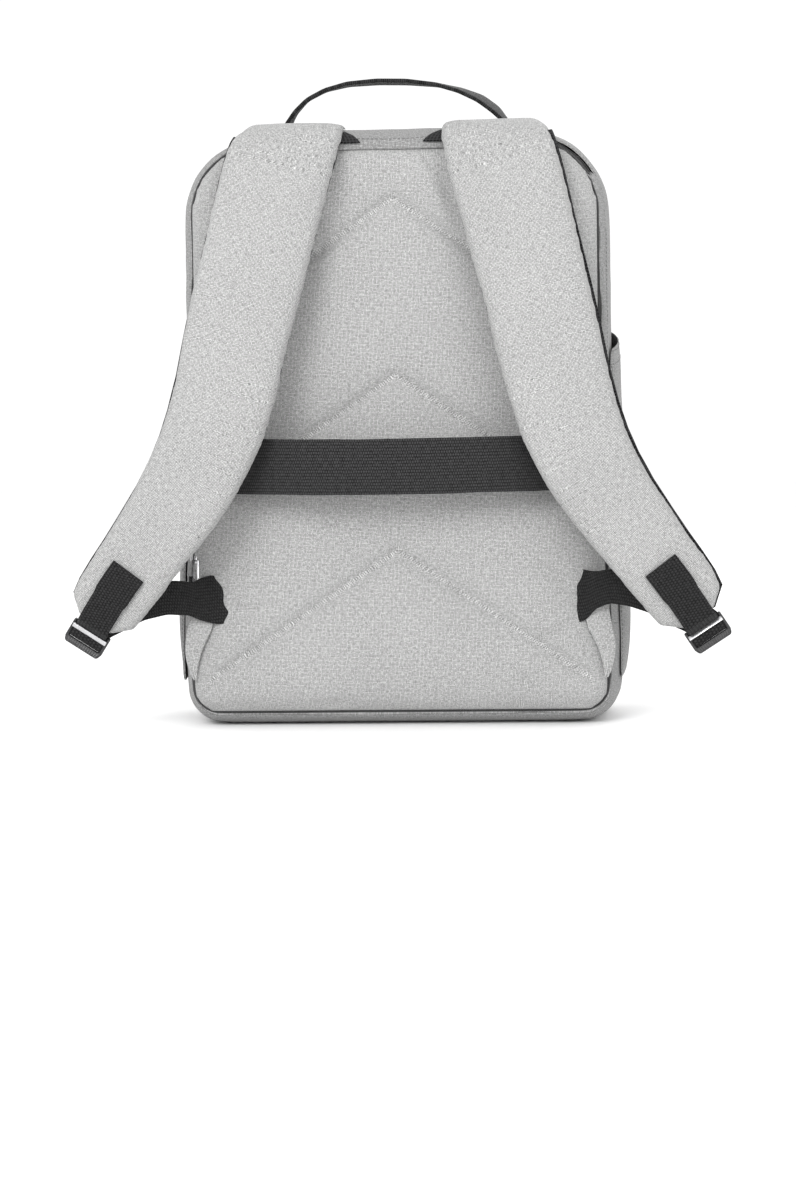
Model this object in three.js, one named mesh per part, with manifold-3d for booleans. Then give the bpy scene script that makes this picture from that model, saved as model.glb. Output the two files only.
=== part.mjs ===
// A soft laptop backpack, standing on its base, seen from the side that is worn.
// Millimetres. +Z is up, the wearer's back is towards -Y, and the origin is the middle of the base.

import * as THREE from 'three';
import { mergeVertices } from 'three/addons/utils/BufferGeometryUtils.js';
import Module from 'manifold-3d';

const wasm = await Module();
wasm.setup();

// Driving dimensions of the bag
const BODY_WIDTH = 301;
const BODY_HEIGHT = 414;
const BODY_DEPTH = 145;
const TOP_RADIUS = 58;
const BASE_RADIUS = 26;
const SAG = 6.5;
const SAG_HEIGHT = 58;
const SAG_SPAN = 70;
const CLOTH = 2.2;
const BASE_PADDING = 7;
const FRONT_PADDING = 8;
const GAP = 0.3;

// Back panel, its rolled rim and its quilting
const PANEL_THICKNESS = 12;
const SEAM_INSET = 9;
const CHEVRON_SLOPE = 34;
const CHEVRON_PITCH = 121;
const CHEVRON_FIRST = 123;
const CHEVRON_COUNT = 3;
const GROOVE_DEPTH = 1.6;
const GROOVE_WIDTH = 5;
const CHEVRON_REACH = 112;
const PINCH_DEPTH = 18;
const PINCH_HEIGHT = 80;
const PINCH_SPAN = 28;

// Zips
const LAPTOP_ZIP_WIDTH = 5.5;
const LAPTOP_ZIP_END = 98;
const MAIN_ZIP_WIDTH = 9;
const MAIN_ZIP_END = 60;
const ZIP_RECESS = 1.4;
const FRONT_STRIP = 20;
const FRONT_DOME = 10;
const PULL_LENGTH = 22;
const PULL_WIDTH = 4.6;
const PULL_THICKNESS = 1.5;
const LAPTOP_PULL_ABOVE = 20;
const MAIN_PULL_ABOVE = 48;

// Side pockets
const POCKET_BASE = 30;
const POCKET_TOP = 262;
const POCKET_SLANT = 16;
const POCKET_BULGE = 10.5;
const POCKET_CLOTH = 1.2;

// Shoulder straps, with the black mesh that lines them
const STRAP_WIDTH = 76;
const STRAP_THICKNESS = 12;
const STRAP_STANDOFF = 33;
const STRAP_END_HEIGHT = 77;
const STRAP_END_REACH = 205;
const LINING_THICKNESS = 2.6;
const YOKE_THICKNESS = 2.2;

// Black webbing and the buckles on it
const WEB_WIDTH = 25;
const WEB_THICKNESS = 1.8;
const TAB_LENGTH = 46;
const BUCKLE_WIDTH = 30;
const BUCKLE_LENGTH = 18;
const BUCKLE_THICKNESS = 4.5;
const BUCKLE_BAR = 3.2;
const BUCKLE_CORNER = 2;
const BAND_WIDTH = 37;
const BAND_HEIGHT = 183;
const BAND_BOW = 33;
const BAND_CREST = 36;
const BAND_HOLD = 68;
const BAND_THICKNESS = 2;

// Haul handle
const HANDLE_SPAN = 154;
const HANDLE_RISE = 36;
const HANDLE_WIDTH = 25;
const HANDLE_THICKNESS = 3;
const HANDLE_FOOT = 17;
const HANDLE_SETBACK = 56;

// Finishes
const material = (color, roughness, metalness) => (
  new THREE.MeshStandardMaterial({ color, roughness, metalness })
);
const GREY_WEAVE = material(0xb4b4b2, 0.92, 0);
const BLACK_MESH = material(0x17171a, 0.95, 0);
const BLACK_WEBBING = material(0x222225, 0.85, 0);
const BLACK_PLASTIC = material(0x1b1b1d, 0.45, 0);
const ZIP_TAPE = material(0x2a2a2c, 0.8, 0);
const SILVER_METAL = material(0xc4c6c8, 0.3, 1);

// Places worked out from the sizes
const FACE_Y = -BODY_DEPTH / 2;
const SEAM_Y = FACE_Y + PANEL_THICKNESS;
const FRONT_Y = BODY_DEPTH / 2;
const FRONT_SEAM_Y = FRONT_Y - FRONT_DOME;
const MAIN_ZIP_Y = FRONT_SEAM_Y - FRONT_STRIP - MAIN_ZIP_WIDTH;
const YOKE_REACH = BODY_WIDTH / 2 - TOP_RADIUS;
const HANDLE_Y = FACE_Y + HANDLE_SETBACK;

const group = new THREE.Group();
const lerp = THREE.MathUtils.lerp;
const point = (x, y, z) => new THREE.Vector3(x, y, z);

// One closed solid from vertices and triangles, turned so that its faces point out
function solid(vertices, triangles) {
  let volume = 0;
  for (const [a, b, c] of triangles) {
    volume += vertices[a].dot(vertices[b].clone().cross(vertices[c]));
  }
  const turned = volume < 0 ? triangles.map(([a, b, c]) => [a, c, b]) : triangles;
  const geometry = new THREE.BufferGeometry();
  geometry.setFromPoints(vertices);
  geometry.setIndex(turned.flat());
  return geometry;
}

// A wall lofted through stations that each hold an outer and an inner row of points.
// A closed wall joins its last station to its first, and an open one gets flat ends. Both
// faces are split along the same diagonals, so a twisted wall keeps its thickness.
function wall(stations, closed) {
  const rings = stations.map(({ outer, inner }) => [...outer, ...[...inner].reverse()]);
  const size = rings[0].length;
  const half = size / 2;
  const vertices = rings.flat();
  const triangles = [];
  const quad = (a, b, c, d) => triangles.push([a, b, c], [a, c, d]);
  const spans = closed ? rings.length : rings.length - 1;
  for (let i = 0; i < spans; i += 1) {
    const here = i * size;
    const next = ((i + 1) % rings.length) * size;
    for (let k = 0; k < size; k += 1) {
      const after = (k + 1) % size;
      if (k < half) {
        quad(here + k, here + after, next + after, next + k);
      } else {
        quad(here + after, next + after, next + k, here + k);
      }
    }
  }
  if (!closed) {
    const last = (rings.length - 1) * size;
    for (let k = 0; k < half - 1; k += 1) {
      quad(k, size - 1 - k, size - 2 - k, k + 1);
      quad(last + k, last + k + 1, last + size - 2 - k, last + size - 1 - k);
    }
  }
  return solid(vertices, triangles);
}

// A solid lofted through whole outlines that lie one behind the other, with flat ends
function stack(outlines) {
  const size = outlines[0].length;
  const vertices = outlines.flat();
  const triangles = [];
  for (let i = 0; i < outlines.length - 1; i += 1) {
    for (let k = 0; k < size; k += 1) {
      const after = (k + 1) % size;
      const here = i * size;
      const next = here + size;
      triangles.push([here + k, here + after, next + after], [here + k, next + after, next + k]);
    }
  }
  const cap = (outline, offset, turn) => {
    const flat = outline.map((p) => new THREE.Vector2(p.x, p.z));
    for (const [a, b, c] of THREE.ShapeUtils.triangulateShape(flat, [])) {
      triangles.push(turn ? [offset + a, offset + c, offset + b] : [offset + a, offset + b, offset + c]);
    }
  };
  cap(outlines[0], 0, true);
  cap(outlines[outlines.length - 1], (outlines.length - 1) * size, false);
  return solid(vertices, triangles);
}

// An extruded shape with its shared corners merged, so that it is one closed surface
function extruded(shape, depth) {
  const geometry = new THREE.ExtrudeGeometry(shape, {
    depth, bevelEnabled: false, curveSegments: 3,
  });
  geometry.deleteAttribute('normal');
  geometry.deleteAttribute('uv');
  return mergeVertices(geometry, 1e-4);
}

function asManifold(geometry) {
  return new wasm.Manifold(new wasm.Mesh({
    numProp: 3,
    vertProperties: new Float32Array(geometry.attributes.position.array),
    triVerts: new Uint32Array(geometry.index.array),
  }));
}

function asGeometry(manifold) {
  const { vertProperties, triVerts } = manifold.getMesh();
  const geometry = new THREE.BufferGeometry();
  geometry.setAttribute('position', new THREE.BufferAttribute(vertProperties, 3));
  geometry.setIndex(new THREE.BufferAttribute(triVerts, 1));
  return geometry;
}

function add(name, geometry, finish) {
  const mesh = new THREE.Mesh(geometry, finish);
  mesh.name = name;
  group.add(mesh);
  return mesh;
}

// The bag's outline from behind, as stations with a place and an outward direction.
// They run from the middle of the base to the right, over the top and back on the left.
const BASE_STEPS = 3;
const BASE_CORNER_STEPS = 5;
const SIDE_STEPS = 12;
const TOP_CORNER_STEPS = 7;
const TOP_STEPS = 3;

// The bag sags outwards a little above its base
const halfWidth = (z) => BODY_WIDTH / 2 + SAG * Math.exp(-(((z - SAG_HEIGHT) / SAG_SPAN) ** 2));

function outlineStations() {
  const half = BODY_WIDTH / 2;
  const right = [];
  const place = (x, z, angle) => {
    const taper = halfWidth(z) / half;
    right.push({ x: x * taper, z, nx: Math.cos(angle), nz: Math.sin(angle) });
  };
  const arc = (cx, cz, radius, from, to, steps) => {
    for (let i = 0; i <= steps; i += 1) {
      const angle = lerp(from, to, i / steps);
      place(cx + radius * Math.cos(angle), cz + radius * Math.sin(angle), angle);
    }
  };
  for (let i = 0; i < BASE_STEPS; i += 1) {
    place(((half - BASE_RADIUS) * i) / BASE_STEPS, 0, -Math.PI / 2);
  }
  arc(half - BASE_RADIUS, BASE_RADIUS, BASE_RADIUS, -Math.PI / 2, 0, BASE_CORNER_STEPS);
  const heights = [];
  for (let i = 1; i < SIDE_STEPS; i += 1) {
    heights.push(lerp(BASE_RADIUS, BODY_HEIGHT - TOP_RADIUS, i / SIDE_STEPS));
  }
  for (const end of [LAPTOP_ZIP_END, MAIN_ZIP_END]) {
    heights.push(end - CLOTH, end + GAP);
  }
  for (const z of heights.sort((a, b) => a - b)) {
    place(half, z, 0);
  }
  arc(half - TOP_RADIUS, BODY_HEIGHT - TOP_RADIUS, TOP_RADIUS, 0, Math.PI / 2, TOP_CORNER_STEPS);
  for (let i = 1; i <= TOP_STEPS; i += 1) {
    place((half - TOP_RADIUS) * (1 - i / TOP_STEPS), BODY_HEIGHT, Math.PI / 2);
  }
  const left = right.slice(1, -1).reverse().map((s) => ({ ...s, x: -s.x, nx: -s.nx }));
  return [...right, ...left];
}

const OUTLINE = outlineStations();

// A place inside the outline. Where an inset comes near the base corners' radius the whole
// outline shrinks instead, and a squeeze pulls it in along its outward direction.
const STRAIGHT_INSET = BASE_RADIUS * 0.8;

function at(s, inset, y, squeeze = 0) {
  const straight = Math.min(inset, STRAIGHT_INSET);
  const shrink = 1 - (inset - straight) / (BODY_WIDTH / 2);
  const middle = BODY_HEIGHT / 2;
  const x = (s.x - s.nx * straight) * shrink - s.nx * squeeze;
  const z = middle + (s.z - s.nz * straight - middle) * shrink - s.nz * squeeze;
  return point(x, y, z);
}

// How far the bag's skin lies inside its outline, from the back seam to the front.
// The sides and top swell gently, and the base is flat.
const SKIN = [
  { name: 'back seam', along: 0, inset: 1, base: 0.66 },
  { name: 'shoulder', along: 0.04, inset: 0.62, base: 0.2 },
  { name: 'rear swell', along: 0.14, inset: 0.24, base: 0 },
  { name: 'full', along: 0.36, inset: 0, base: 0 },
  { name: 'full', along: 0.64, inset: 0.02, base: 0 },
  { name: 'front swell', along: 0.86, inset: 0.3, base: 0 },
  { name: 'front seam', along: 1, inset: 0.85, base: 0.5 },
];

function skinInset(y, s) {
  const along = (y - SEAM_Y) / (FRONT_SEAM_Y - SEAM_Y);
  let i = 0;
  while (i < SKIN.length - 2 && along > SKIN[i + 1].along) {
    i += 1;
  }
  const share = (along - SKIN[i].along) / (SKIN[i + 1].along - SKIN[i].along);
  const towardsBase = Math.max(0, -s.nz);
  const swell = lerp(SKIN[i].inset, SKIN[i + 1].inset, share);
  const flat = lerp(SKIN[i].base, SKIN[i + 1].base, share);
  return SEAM_INSET * lerp(swell, flat, towardsBase);
}

// A band of the skin between two depths, sunk below the surface by recess. The base is padded.
function skinStation(s, from, to, steps, thickness, recess) {
  const padding = Math.max(0, -s.nz) * (BASE_PADDING - CLOTH);
  const outer = [];
  const inner = [];
  for (let i = 0; i <= steps; i += 1) {
    const y = lerp(from, to, i / steps);
    const inset = skinInset(y, s) + recess;
    outer.push(at(s, inset, y));
    inner.push(at(s, inset + thickness + padding, y));
  }
  return { outer, inner };
}

// Gusset, front strip and the two zips that part them from the panels
const hasLaptopZip = (s) => s.z > LAPTOP_ZIP_END;
const hasMainZip = (s) => s.z > MAIN_ZIP_END;
const gussetStart = (s) => SEAM_Y + GAP + (hasLaptopZip(s) ? LAPTOP_ZIP_WIDTH + GAP : 0);
const gussetEnd = (s) => MAIN_ZIP_Y + (hasMainZip(s) ? 0 : MAIN_ZIP_WIDTH / 2);
const frontStart = (s) => MAIN_ZIP_Y + (hasMainZip(s) ? MAIN_ZIP_WIDTH : MAIN_ZIP_WIDTH / 2) + GAP;

function gusset() {
  const stations = OUTLINE.map((s) => skinStation(s, gussetStart(s), gussetEnd(s), 5, CLOTH, 0));
  add('gusset', wall(stations, true), GREY_WEAVE);
}

function frontStrip() {
  const end = FRONT_SEAM_Y - GAP;
  const stations = OUTLINE.map((s) => skinStation(s, frontStart(s), end, 2, CLOTH, 0));
  add('front_strip', wall(stations, true), GREY_WEAVE);
}

function zipBand(name, has, from, width) {
  const stations = OUTLINE.filter(has).map((s) => (
    skinStation(s, from + GAP, from + width, 2, CLOTH - ZIP_RECESS / 2, ZIP_RECESS)
  ));
  add(name, wall(stations, false), ZIP_TAPE);
}

// The rolled rim of the padded back panel, from its flat inside to its face
const RIM = [
  { name: 'inside', depth: 0, inset: 1.06, pinch: 0 },
  { name: 'seam', depth: 0.06, inset: 1, pinch: 0 },
  { name: 'flange', depth: 0.16, inset: 1, pinch: 0 },
  { name: 'roll', depth: 0.48, inset: 1.3, pinch: 0.85 },
  { name: 'shoulder', depth: 0.78, inset: 1.9, pinch: 1 },
  { name: 'turn', depth: 0.95, inset: 2.9, pinch: 1 },
  { name: 'face', depth: 1, inset: 4.6, pinch: 1 },
];

const ROLL = RIM.find((row) => row.name === 'roll');

const pinch = (z) => PINCH_DEPTH * Math.exp(-(((z - PINCH_HEIGHT) / PINCH_SPAN) ** 2));

// The quilted chevrons are shallow grooves cut along both legs of each one
function chevronGroove(apexZ, side) {
  const profile = new THREE.Shape([
    new THREE.Vector2(-GROOVE_WIDTH / 2, GROOVE_DEPTH),
    new THREE.Vector2(0, -GROOVE_DEPTH),
    new THREE.Vector2(GROOVE_WIDTH / 2, GROOVE_DEPTH),
  ]);
  const slope = THREE.MathUtils.degToRad(CHEVRON_SLOPE);
  const length = CHEVRON_REACH / Math.cos(slope);
  const groove = extruded(profile, length);
  const along = point(side * Math.cos(slope), 0, -Math.sin(slope));
  const out = point(0, -1, 0);
  const across = out.clone().cross(along);
  groove.applyMatrix4(new THREE.Matrix4().makeBasis(across, out, along).setPosition(0, FACE_Y, apexZ));
  return groove;
}

function backPanel() {
  const outlines = RIM.map((row) => OUTLINE.map((s) => {
    const squeeze = Math.abs(s.nx) * row.pinch * pinch(s.z);
    return at(s, SEAM_INSET * row.inset, SEAM_Y - PANEL_THICKNESS * row.depth, squeeze);
  }));
  let panel = asManifold(stack(outlines));
  for (let i = 0; i < CHEVRON_COUNT; i += 1) {
    for (const side of [-1, 1]) {
      panel = panel.subtract(asManifold(chevronGroove(CHEVRON_FIRST + i * CHEVRON_PITCH, side)));
    }
  }
  add('back_panel', asGeometry(panel), GREY_WEAVE);
}

// The front panel is a plain shallow dome of padded cloth
const DOME = [
  { name: 'seam', depth: 0, inset: 0.85 },
  { name: 'roll', depth: 0.5, inset: 1.2 },
  { name: 'shoulder', depth: 0.84, inset: 2.6 },
  { name: 'face', depth: 1, inset: 6.5 },
];

function frontPanel() {
  const shell = (deeper) => DOME.map((row) => OUTLINE.map((s) => (
    at(s, SEAM_INSET * row.inset + deeper, FRONT_SEAM_Y + (FRONT_DOME - deeper) * row.depth)
  )));
  add('front_panel', stack([...shell(FRONT_PADDING).reverse(), ...shell(0)]), GREY_WEAVE);
}

// Side pockets: a stretched cloth that stands off the gusset and is open at its slanted top
const POCKET_ROWS = [
  { up: 0, bulge: 0 },
  { up: 0.1, bulge: 0.28 },
  { up: 0.3, bulge: 0.5 },
  { up: 0.6, bulge: 0.6 },
  { up: 0.85, bulge: 0.5 },
  { up: 1, bulge: 0.44 },
];
const POCKET_COLUMNS = [
  { across: 0, bulge: 0 },
  { across: 0.08, bulge: 0.45 },
  { across: 0.25, bulge: 0.85 },
  { across: 0.5, bulge: 1 },
  { across: 0.75, bulge: 0.85 },
  { across: 0.92, bulge: 0.45 },
  { across: 1, bulge: 0 },
];

const bodySide = (y, z) => halfWidth(z) - skinInset(y, { nz: 0 });

function sidePocket(name, side) {
  const from = gussetStart({ z: POCKET_TOP }) + SEAM_INSET;
  const to = MAIN_ZIP_Y - GAP;
  const stations = POCKET_ROWS.map((row) => {
    const outer = [];
    const inner = [];
    for (const column of POCKET_COLUMNS) {
      const y = lerp(from, to, column.across);
      const top = POCKET_TOP + POCKET_SLANT * column.across;
      const z = lerp(POCKET_BASE, top, row.up);
      const x = bodySide(y, z) + 2 * GAP + POCKET_BULGE * row.bulge * column.bulge;
      inner.push(point(side * x, y, z));
      outer.push(point(side * (x + POCKET_CLOTH), y, z));
    }
    return { outer, inner };
  });
  add(name, wall(stations, false), GREY_WEAVE);
}

// The bag's top rim in the plane of its depth, from the gusset over the seam to the panel's
// face, and a point that stands off it by some distance
const RIM_SHARES = [0.36, 0.18, 0.14, 0.04];

function topRim() {
  const top = { nz: 1 };
  const path = RIM_SHARES.map((share) => {
    const y = lerp(SEAM_Y, FRONT_SEAM_Y, share);
    return { y, z: BODY_HEIGHT - skinInset(y, top) };
  });
  for (const row of RIM.slice(2)) {
    path.push({ y: SEAM_Y - PANEL_THICKNESS * row.depth, z: BODY_HEIGHT - SEAM_INSET * row.inset });
  }
  return path;
}

const TOP_RIM = topRim();

function rimPoint(i, stand) {
  const before = TOP_RIM[Math.max(0, i - 1)];
  const after = TOP_RIM[Math.min(TOP_RIM.length - 1, i + 1)];
  const along = new THREE.Vector2(after.y - before.y, after.z - before.z).normalize();
  return { y: TOP_RIM[i].y + along.y * stand, z: TOP_RIM[i].z - along.x * stand, along };
}

// The yoke wraps the top rim between and under the straps
const YOKE_FROM = 1;
const YOKE_TO = 5;

function yoke() {
  const stations = [-1, 1].map((side) => {
    const row = (stand) => {
      const points = [];
      for (let i = YOKE_FROM; i <= YOKE_TO; i += 1) {
        const { y, z } = rimPoint(i, stand);
        points.push(point(side * YOKE_REACH, y, z));
      }
      return points;
    };
    return { outer: row(2 * GAP + YOKE_THICKNESS), inner: row(2 * GAP) };
  });
  add('yoke', wall(stations, false), GREY_WEAVE);
}

// Shoulder straps. Each row is a place on the strap's worn surface, from the yoke down.
// rise: height between the free end and the rim; reach: sideways place between the top and
// the free end; clear: how far in front of the back panel; lean: how far it faces up.
const STRAP_TOP_X = 71;
const STRAP_ROWS = [
  { rise: 0.93, reach: 0.03, clear: 0.12, lean: 12, width: 1, thick: 0.95 },
  { rise: 0.87, reach: 0.07, clear: 0.24, lean: 7, width: 1, thick: 1 },
  { rise: 0.77, reach: 0.13, clear: 0.43, lean: 5, width: 0.98, thick: 1 },
  { rise: 0.61, reach: 0.23, clear: 0.74, lean: 3, width: 0.96, thick: 1 },
  { rise: 0.41, reach: 0.35, clear: 0.97, lean: 0, width: 0.92, thick: 1 },
  { rise: 0.28, reach: 0.5, clear: 1, lean: 0, width: 0.84, thick: 0.95 },
  { rise: 0.15, reach: 0.73, clear: 0.96, lean: -2, width: 0.74, thick: 0.9 },
  { rise: 0.06, reach: 0.9, clear: 0.88, lean: -3, width: 0.7, thick: 0.85 },
  { rise: 0, reach: 1, clear: 0.82, lean: -4, width: 0.66, thick: 0.8 },
];
const STRAP_STEPS = 30;

// Where it is sewn over the yoke the strap is thin, and its lining begins below the rim
const STRAP_ON_YOKE = [
  { thick: 0.42, lining: 0 },
  { thick: 0.52, lining: 0 },
  { thick: 0.62, lining: 0 },
  { thick: 0.72, lining: 0.34 },
  { thick: 0.82, lining: 0.67 },
];

function strapRows() {
  const stand = 3 * GAP + YOKE_THICKNESS;
  const rows = STRAP_ON_YOKE.map((sewn, i) => {
    const { y, z, along } = rimPoint(YOKE_FROM + i, stand);
    const lean = THREE.MathUtils.radToDeg(Math.atan2(-along.x, -along.y));
    return { ...sewn, x: STRAP_TOP_X, y, z, lean, width: 1 };
  });
  for (const row of STRAP_ROWS) {
    rows.push({
      ...row,
      x: lerp(STRAP_TOP_X, STRAP_END_REACH, row.reach),
      y: FACE_Y - 2 * GAP - YOKE_THICKNESS - STRAP_STANDOFF * row.clear,
      z: lerp(STRAP_END_HEIGHT, BODY_HEIGHT, row.rise),
      lining: 1,
    });
  }
  return rows;
}

const STRAP_TABLE = strapRows();
const STRAP_PATH = new THREE.CatmullRomCurve3(STRAP_TABLE.map((r) => point(r.x, r.y, r.z)));

// A place on the right strap with its own directions: down the strap, across it, and out
function strapFrame(share, beyond = 0) {
  const position = STRAP_PATH.getPoint(share);
  const down = STRAP_PATH.getTangent(share).normalize();
  position.addScaledVector(down, beyond);
  const rank = share * (STRAP_TABLE.length - 1);
  const i = Math.min(STRAP_TABLE.length - 2, Math.floor(rank));
  const column = (name) => lerp(STRAP_TABLE[i][name], STRAP_TABLE[i + 1][name], rank - i);
  const lean = THREE.MathUtils.degToRad(column('lean'));
  const guess = point(0, -Math.cos(lean), Math.sin(lean));
  const across = down.clone().cross(guess).normalize();
  const out = across.clone().cross(down).normalize();
  return {
    position, down, across, out,
    width: STRAP_WIDTH * column('width'),
    thick: STRAP_THICKNESS * column('thick'),
    lining: column('lining'),
  };
}

const inFrame = (f, across, out) => (
  f.position.clone().addScaledVector(f.across, across).addScaledVector(f.out, out)
);

// The free end is rounded: how the width closes over its last stretch
const STRAP_ROUND = 15;
const STRAP_BLUNT = 0.5;

function endShare(f) {
  const left = STRAP_PATH.getPoint(1).distanceTo(f.position);
  const t = Math.max(0, 1 - left / STRAP_ROUND);
  return Math.sqrt(1 - (1 - STRAP_BLUNT ** 2) * t * t);
}

const PAD_SECTION = [
  { across: -1, height: 0.3 },
  { across: -0.93, height: 0.72 },
  { across: -0.72, height: 0.95 },
  { across: 0, height: 1 },
  { across: 0.72, height: 0.95 },
  { across: 0.93, height: 0.72 },
  { across: 1, height: 0.3 },
];

function mirrored(p, side) {
  return point(side * p.x, p.y, p.z);
}

function shoulderStrap(name, side) {
  const stations = [];
  for (let i = 0; i <= STRAP_STEPS; i += 1) {
    const f = strapFrame(i / STRAP_STEPS);
    const half = (f.width / 2) * endShare(f);
    const floor = f.lining * (LINING_THICKNESS + 2 * GAP);
    const row = (thick) => PAD_SECTION.map((c) => (
      mirrored(inFrame(f, half * c.across, floor + thick * c.height), side)
    ));
    stations.push({ outer: row(f.thick), inner: row(0) });
  }
  add(name, wall(stations, false), GREY_WEAVE);
}

const LINING_LIP = 1;

function strapLining(name, side) {
  const stations = [];
  for (let i = 0; i <= STRAP_STEPS; i += 1) {
    const f = strapFrame(i / STRAP_STEPS);
    if (f.lining === 1) {
      const half = (f.width / 2) * endShare(f) + LINING_LIP;
      const row = (out) => PAD_SECTION.map((c) => (
        mirrored(inFrame(f, half * c.across, out), side)
      ));
      stations.push({ outer: row(LINING_THICKNESS), inner: row(0) });
    }
  }
  add(name, wall(stations, false), BLACK_MESH);
}

// The webbing tab sewn on the strap's end, which holds the buckle's upper bar
const TAB_STEPS = 6;
const BUCKLE_START = 3;

function strapTab(name, side) {
  const length = STRAP_PATH.getLength();
  const stations = [];
  const station = (f, out) => {
    const row = (lift) => [-1, 1].map((c) => (
      mirrored(inFrame(f, (WEB_WIDTH / 2) * c, out + lift), side)
    ));
    stations.push({ outer: row(WEB_THICKNESS), inner: row(0) });
  };
  const top = (f) => LINING_THICKNESS + 3 * GAP + f.thick;
  for (let i = 0; i <= TAB_STEPS; i += 1) {
    const f = strapFrame(1 - ((TAB_LENGTH / length) * (TAB_STEPS - i)) / TAB_STEPS);
    station(f, top(f));
  }
  const end = strapFrame(1, BUCKLE_START + BUCKLE_BAR);
  station(end, BUCKLE_THICKNESS + LINING_THICKNESS + 2 * GAP);
  add(name, wall(stations, false), BLACK_WEBBING);
}

// A ladder-lock buckle: a frame with two slots
function buckle(name, side) {
  const half = BUCKLE_WIDTH / 2;
  const narrow = half - BUCKLE_CORNER / 2;
  const frame = new THREE.Shape([
    [-half + BUCKLE_CORNER, 0], [half - BUCKLE_CORNER, 0], [half, BUCKLE_CORNER],
    [narrow, BUCKLE_LENGTH], [-narrow, BUCKLE_LENGTH], [-half, BUCKLE_CORNER],
  ].map(([x, y]) => new THREE.Vector2(x, y)));
  const slot = (BUCKLE_LENGTH - 3 * BUCKLE_BAR) / 2;
  const reach = WEB_WIDTH / 2 + 2 * GAP;
  for (const from of [BUCKLE_BAR, 2 * BUCKLE_BAR + slot]) {
    frame.holes.push(new THREE.Path([
      [-reach, from], [-reach, from + slot], [reach, from + slot], [reach, from],
    ].map(([x, y]) => new THREE.Vector2(x, y))));
  }
  const plate = extruded(frame, BUCKLE_THICKNESS);
  const f = strapFrame(1, BUCKLE_START);
  f.position.addScaledVector(f.out, LINING_THICKNESS);
  const place = new THREE.Matrix4().makeBasis(f.across, f.down, f.out).setPosition(f.position);
  const bare = asManifold(plate.applyMatrix4(place));
  const whole = side > 0 ? bare : bare.mirror([1, 0, 0]);
  add(name, asGeometry(whole), BLACK_PLASTIC);
}

// The stitched cloth corner that holds the lower webbing at the panel's pinched edge
const CORNER_HEIGHT = 58;
const CORNER_BELOW = 44;
const CORNER_CLOTH = 2;
const CORNER_EDGE = 0.7;
const CORNER_STEPS = 6;
const CORNER_Y = SEAM_Y - PANEL_THICKNESS * ROLL.depth - GAP;

function cornerInset(z) {
  return SEAM_INSET * ROLL.inset + ROLL.pinch * pinch(z) - 4 * GAP;
}

function anchorCorner(name, side) {
  const outer = [];
  const inner = [];
  for (let i = 0; i <= CORNER_STEPS; i += 1) {
    const z = PINCH_HEIGHT - CORNER_BELOW + (CORNER_HEIGHT * i) / CORNER_STEPS;
    const half = halfWidth(z);
    outer.push([half - SEAM_INSET * CORNER_EDGE, z]);
    inner.push([half - cornerInset(z), z]);
  }
  const stations = outer.map((edge, i) => {
    const row = (y) => [point(side * edge[0], y, edge[1]), point(side * inner[i][0], y, inner[i][1])];
    return { outer: row(CORNER_Y - CORNER_CLOTH), inner: row(CORNER_Y) };
  });
  add(name, wall(stations, false), GREY_WEAVE);
}

// The lower webbing runs from that corner out behind the strap and up into the buckle
const WEB_ROWS = [
  { name: 'sewn end', out: 0, forward: 0, up: 0, turn: 0 },
  { name: 'corner', out: 0.14, forward: 0.06, up: 0.02, turn: 0 },
  { name: 'beside the bag', out: 0.42, forward: 0.42, up: 0.06, turn: 0.15 },
  { name: 'behind the strap', out: 0.74, forward: 0.76, up: 0.02, turn: 0.6 },
  { name: 'under the pad', out: 0.92, forward: 0.9, up: 0, turn: 0.95 },
  { name: 'buckle', out: 1, forward: 1, up: 0, turn: 1 },
];
const WEB_STEPS = 12;
const WEB_SLACK = 6;
const WEB_LIFT = 2;

function lowerWebbing(name, side) {
  const end = strapFrame(1, BUCKLE_START - 2 * GAP);
  const sewn = point(
    halfWidth(PINCH_HEIGHT) - cornerInset(PINCH_HEIGHT) + 2 * GAP,
    CORNER_Y - CORNER_CLOTH - GAP - WEB_THICKNESS / 2,
    PINCH_HEIGHT + WEB_LIFT,
  );
  const held = end.position.clone().addScaledVector(end.out, -WEB_THICKNESS - LINING_THICKNESS);
  const path = new THREE.CatmullRomCurve3(WEB_ROWS.map((row) => point(
    lerp(sewn.x, held.x, row.out),
    lerp(sewn.y, held.y, row.forward) + WEB_SLACK * Math.sin(Math.PI * row.out) ** 2,
    lerp(sewn.z, held.z, row.out) + WEB_WIDTH * row.up,
  )));
  const turns = new THREE.CatmullRomCurve3(WEB_ROWS.map((row) => point(row.turn, 0, 0)));
  const stations = [];
  for (let i = 0; i <= WEB_STEPS; i += 1) {
    const share = i / WEB_STEPS;
    const centre = path.getPoint(share);
    const along = path.getTangent(share);
    const turn = THREE.MathUtils.clamp(turns.getPoint(share).x, 0, 1);
    const wide = point(0, 0, 1).lerp(end.across.clone().multiplyScalar(Math.sign(end.across.z)), turn);
    wide.addScaledVector(along, -wide.dot(along)).normalize();
    const out = along.clone().cross(wide).normalize();
    const row = (lift) => [-1, 0, 1].map((c) => mirrored(
      centre.clone().addScaledVector(wide, (WEB_WIDTH / 2) * c).addScaledVector(out, lift),
      side,
    ));
    stations.push({ outer: row(WEB_THICKNESS / 2), inner: row(-WEB_THICKNESS / 2) });
  }
  add(name, wall(stations, false), BLACK_WEBBING);
}

// The broad band across the back panel stands off it in the middle
const BAND_BACK = [
  { x: 0.62, bow: 0.55 },
  { x: 0.3, bow: 0.84 },
  { x: 0, bow: 1 },
];

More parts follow.
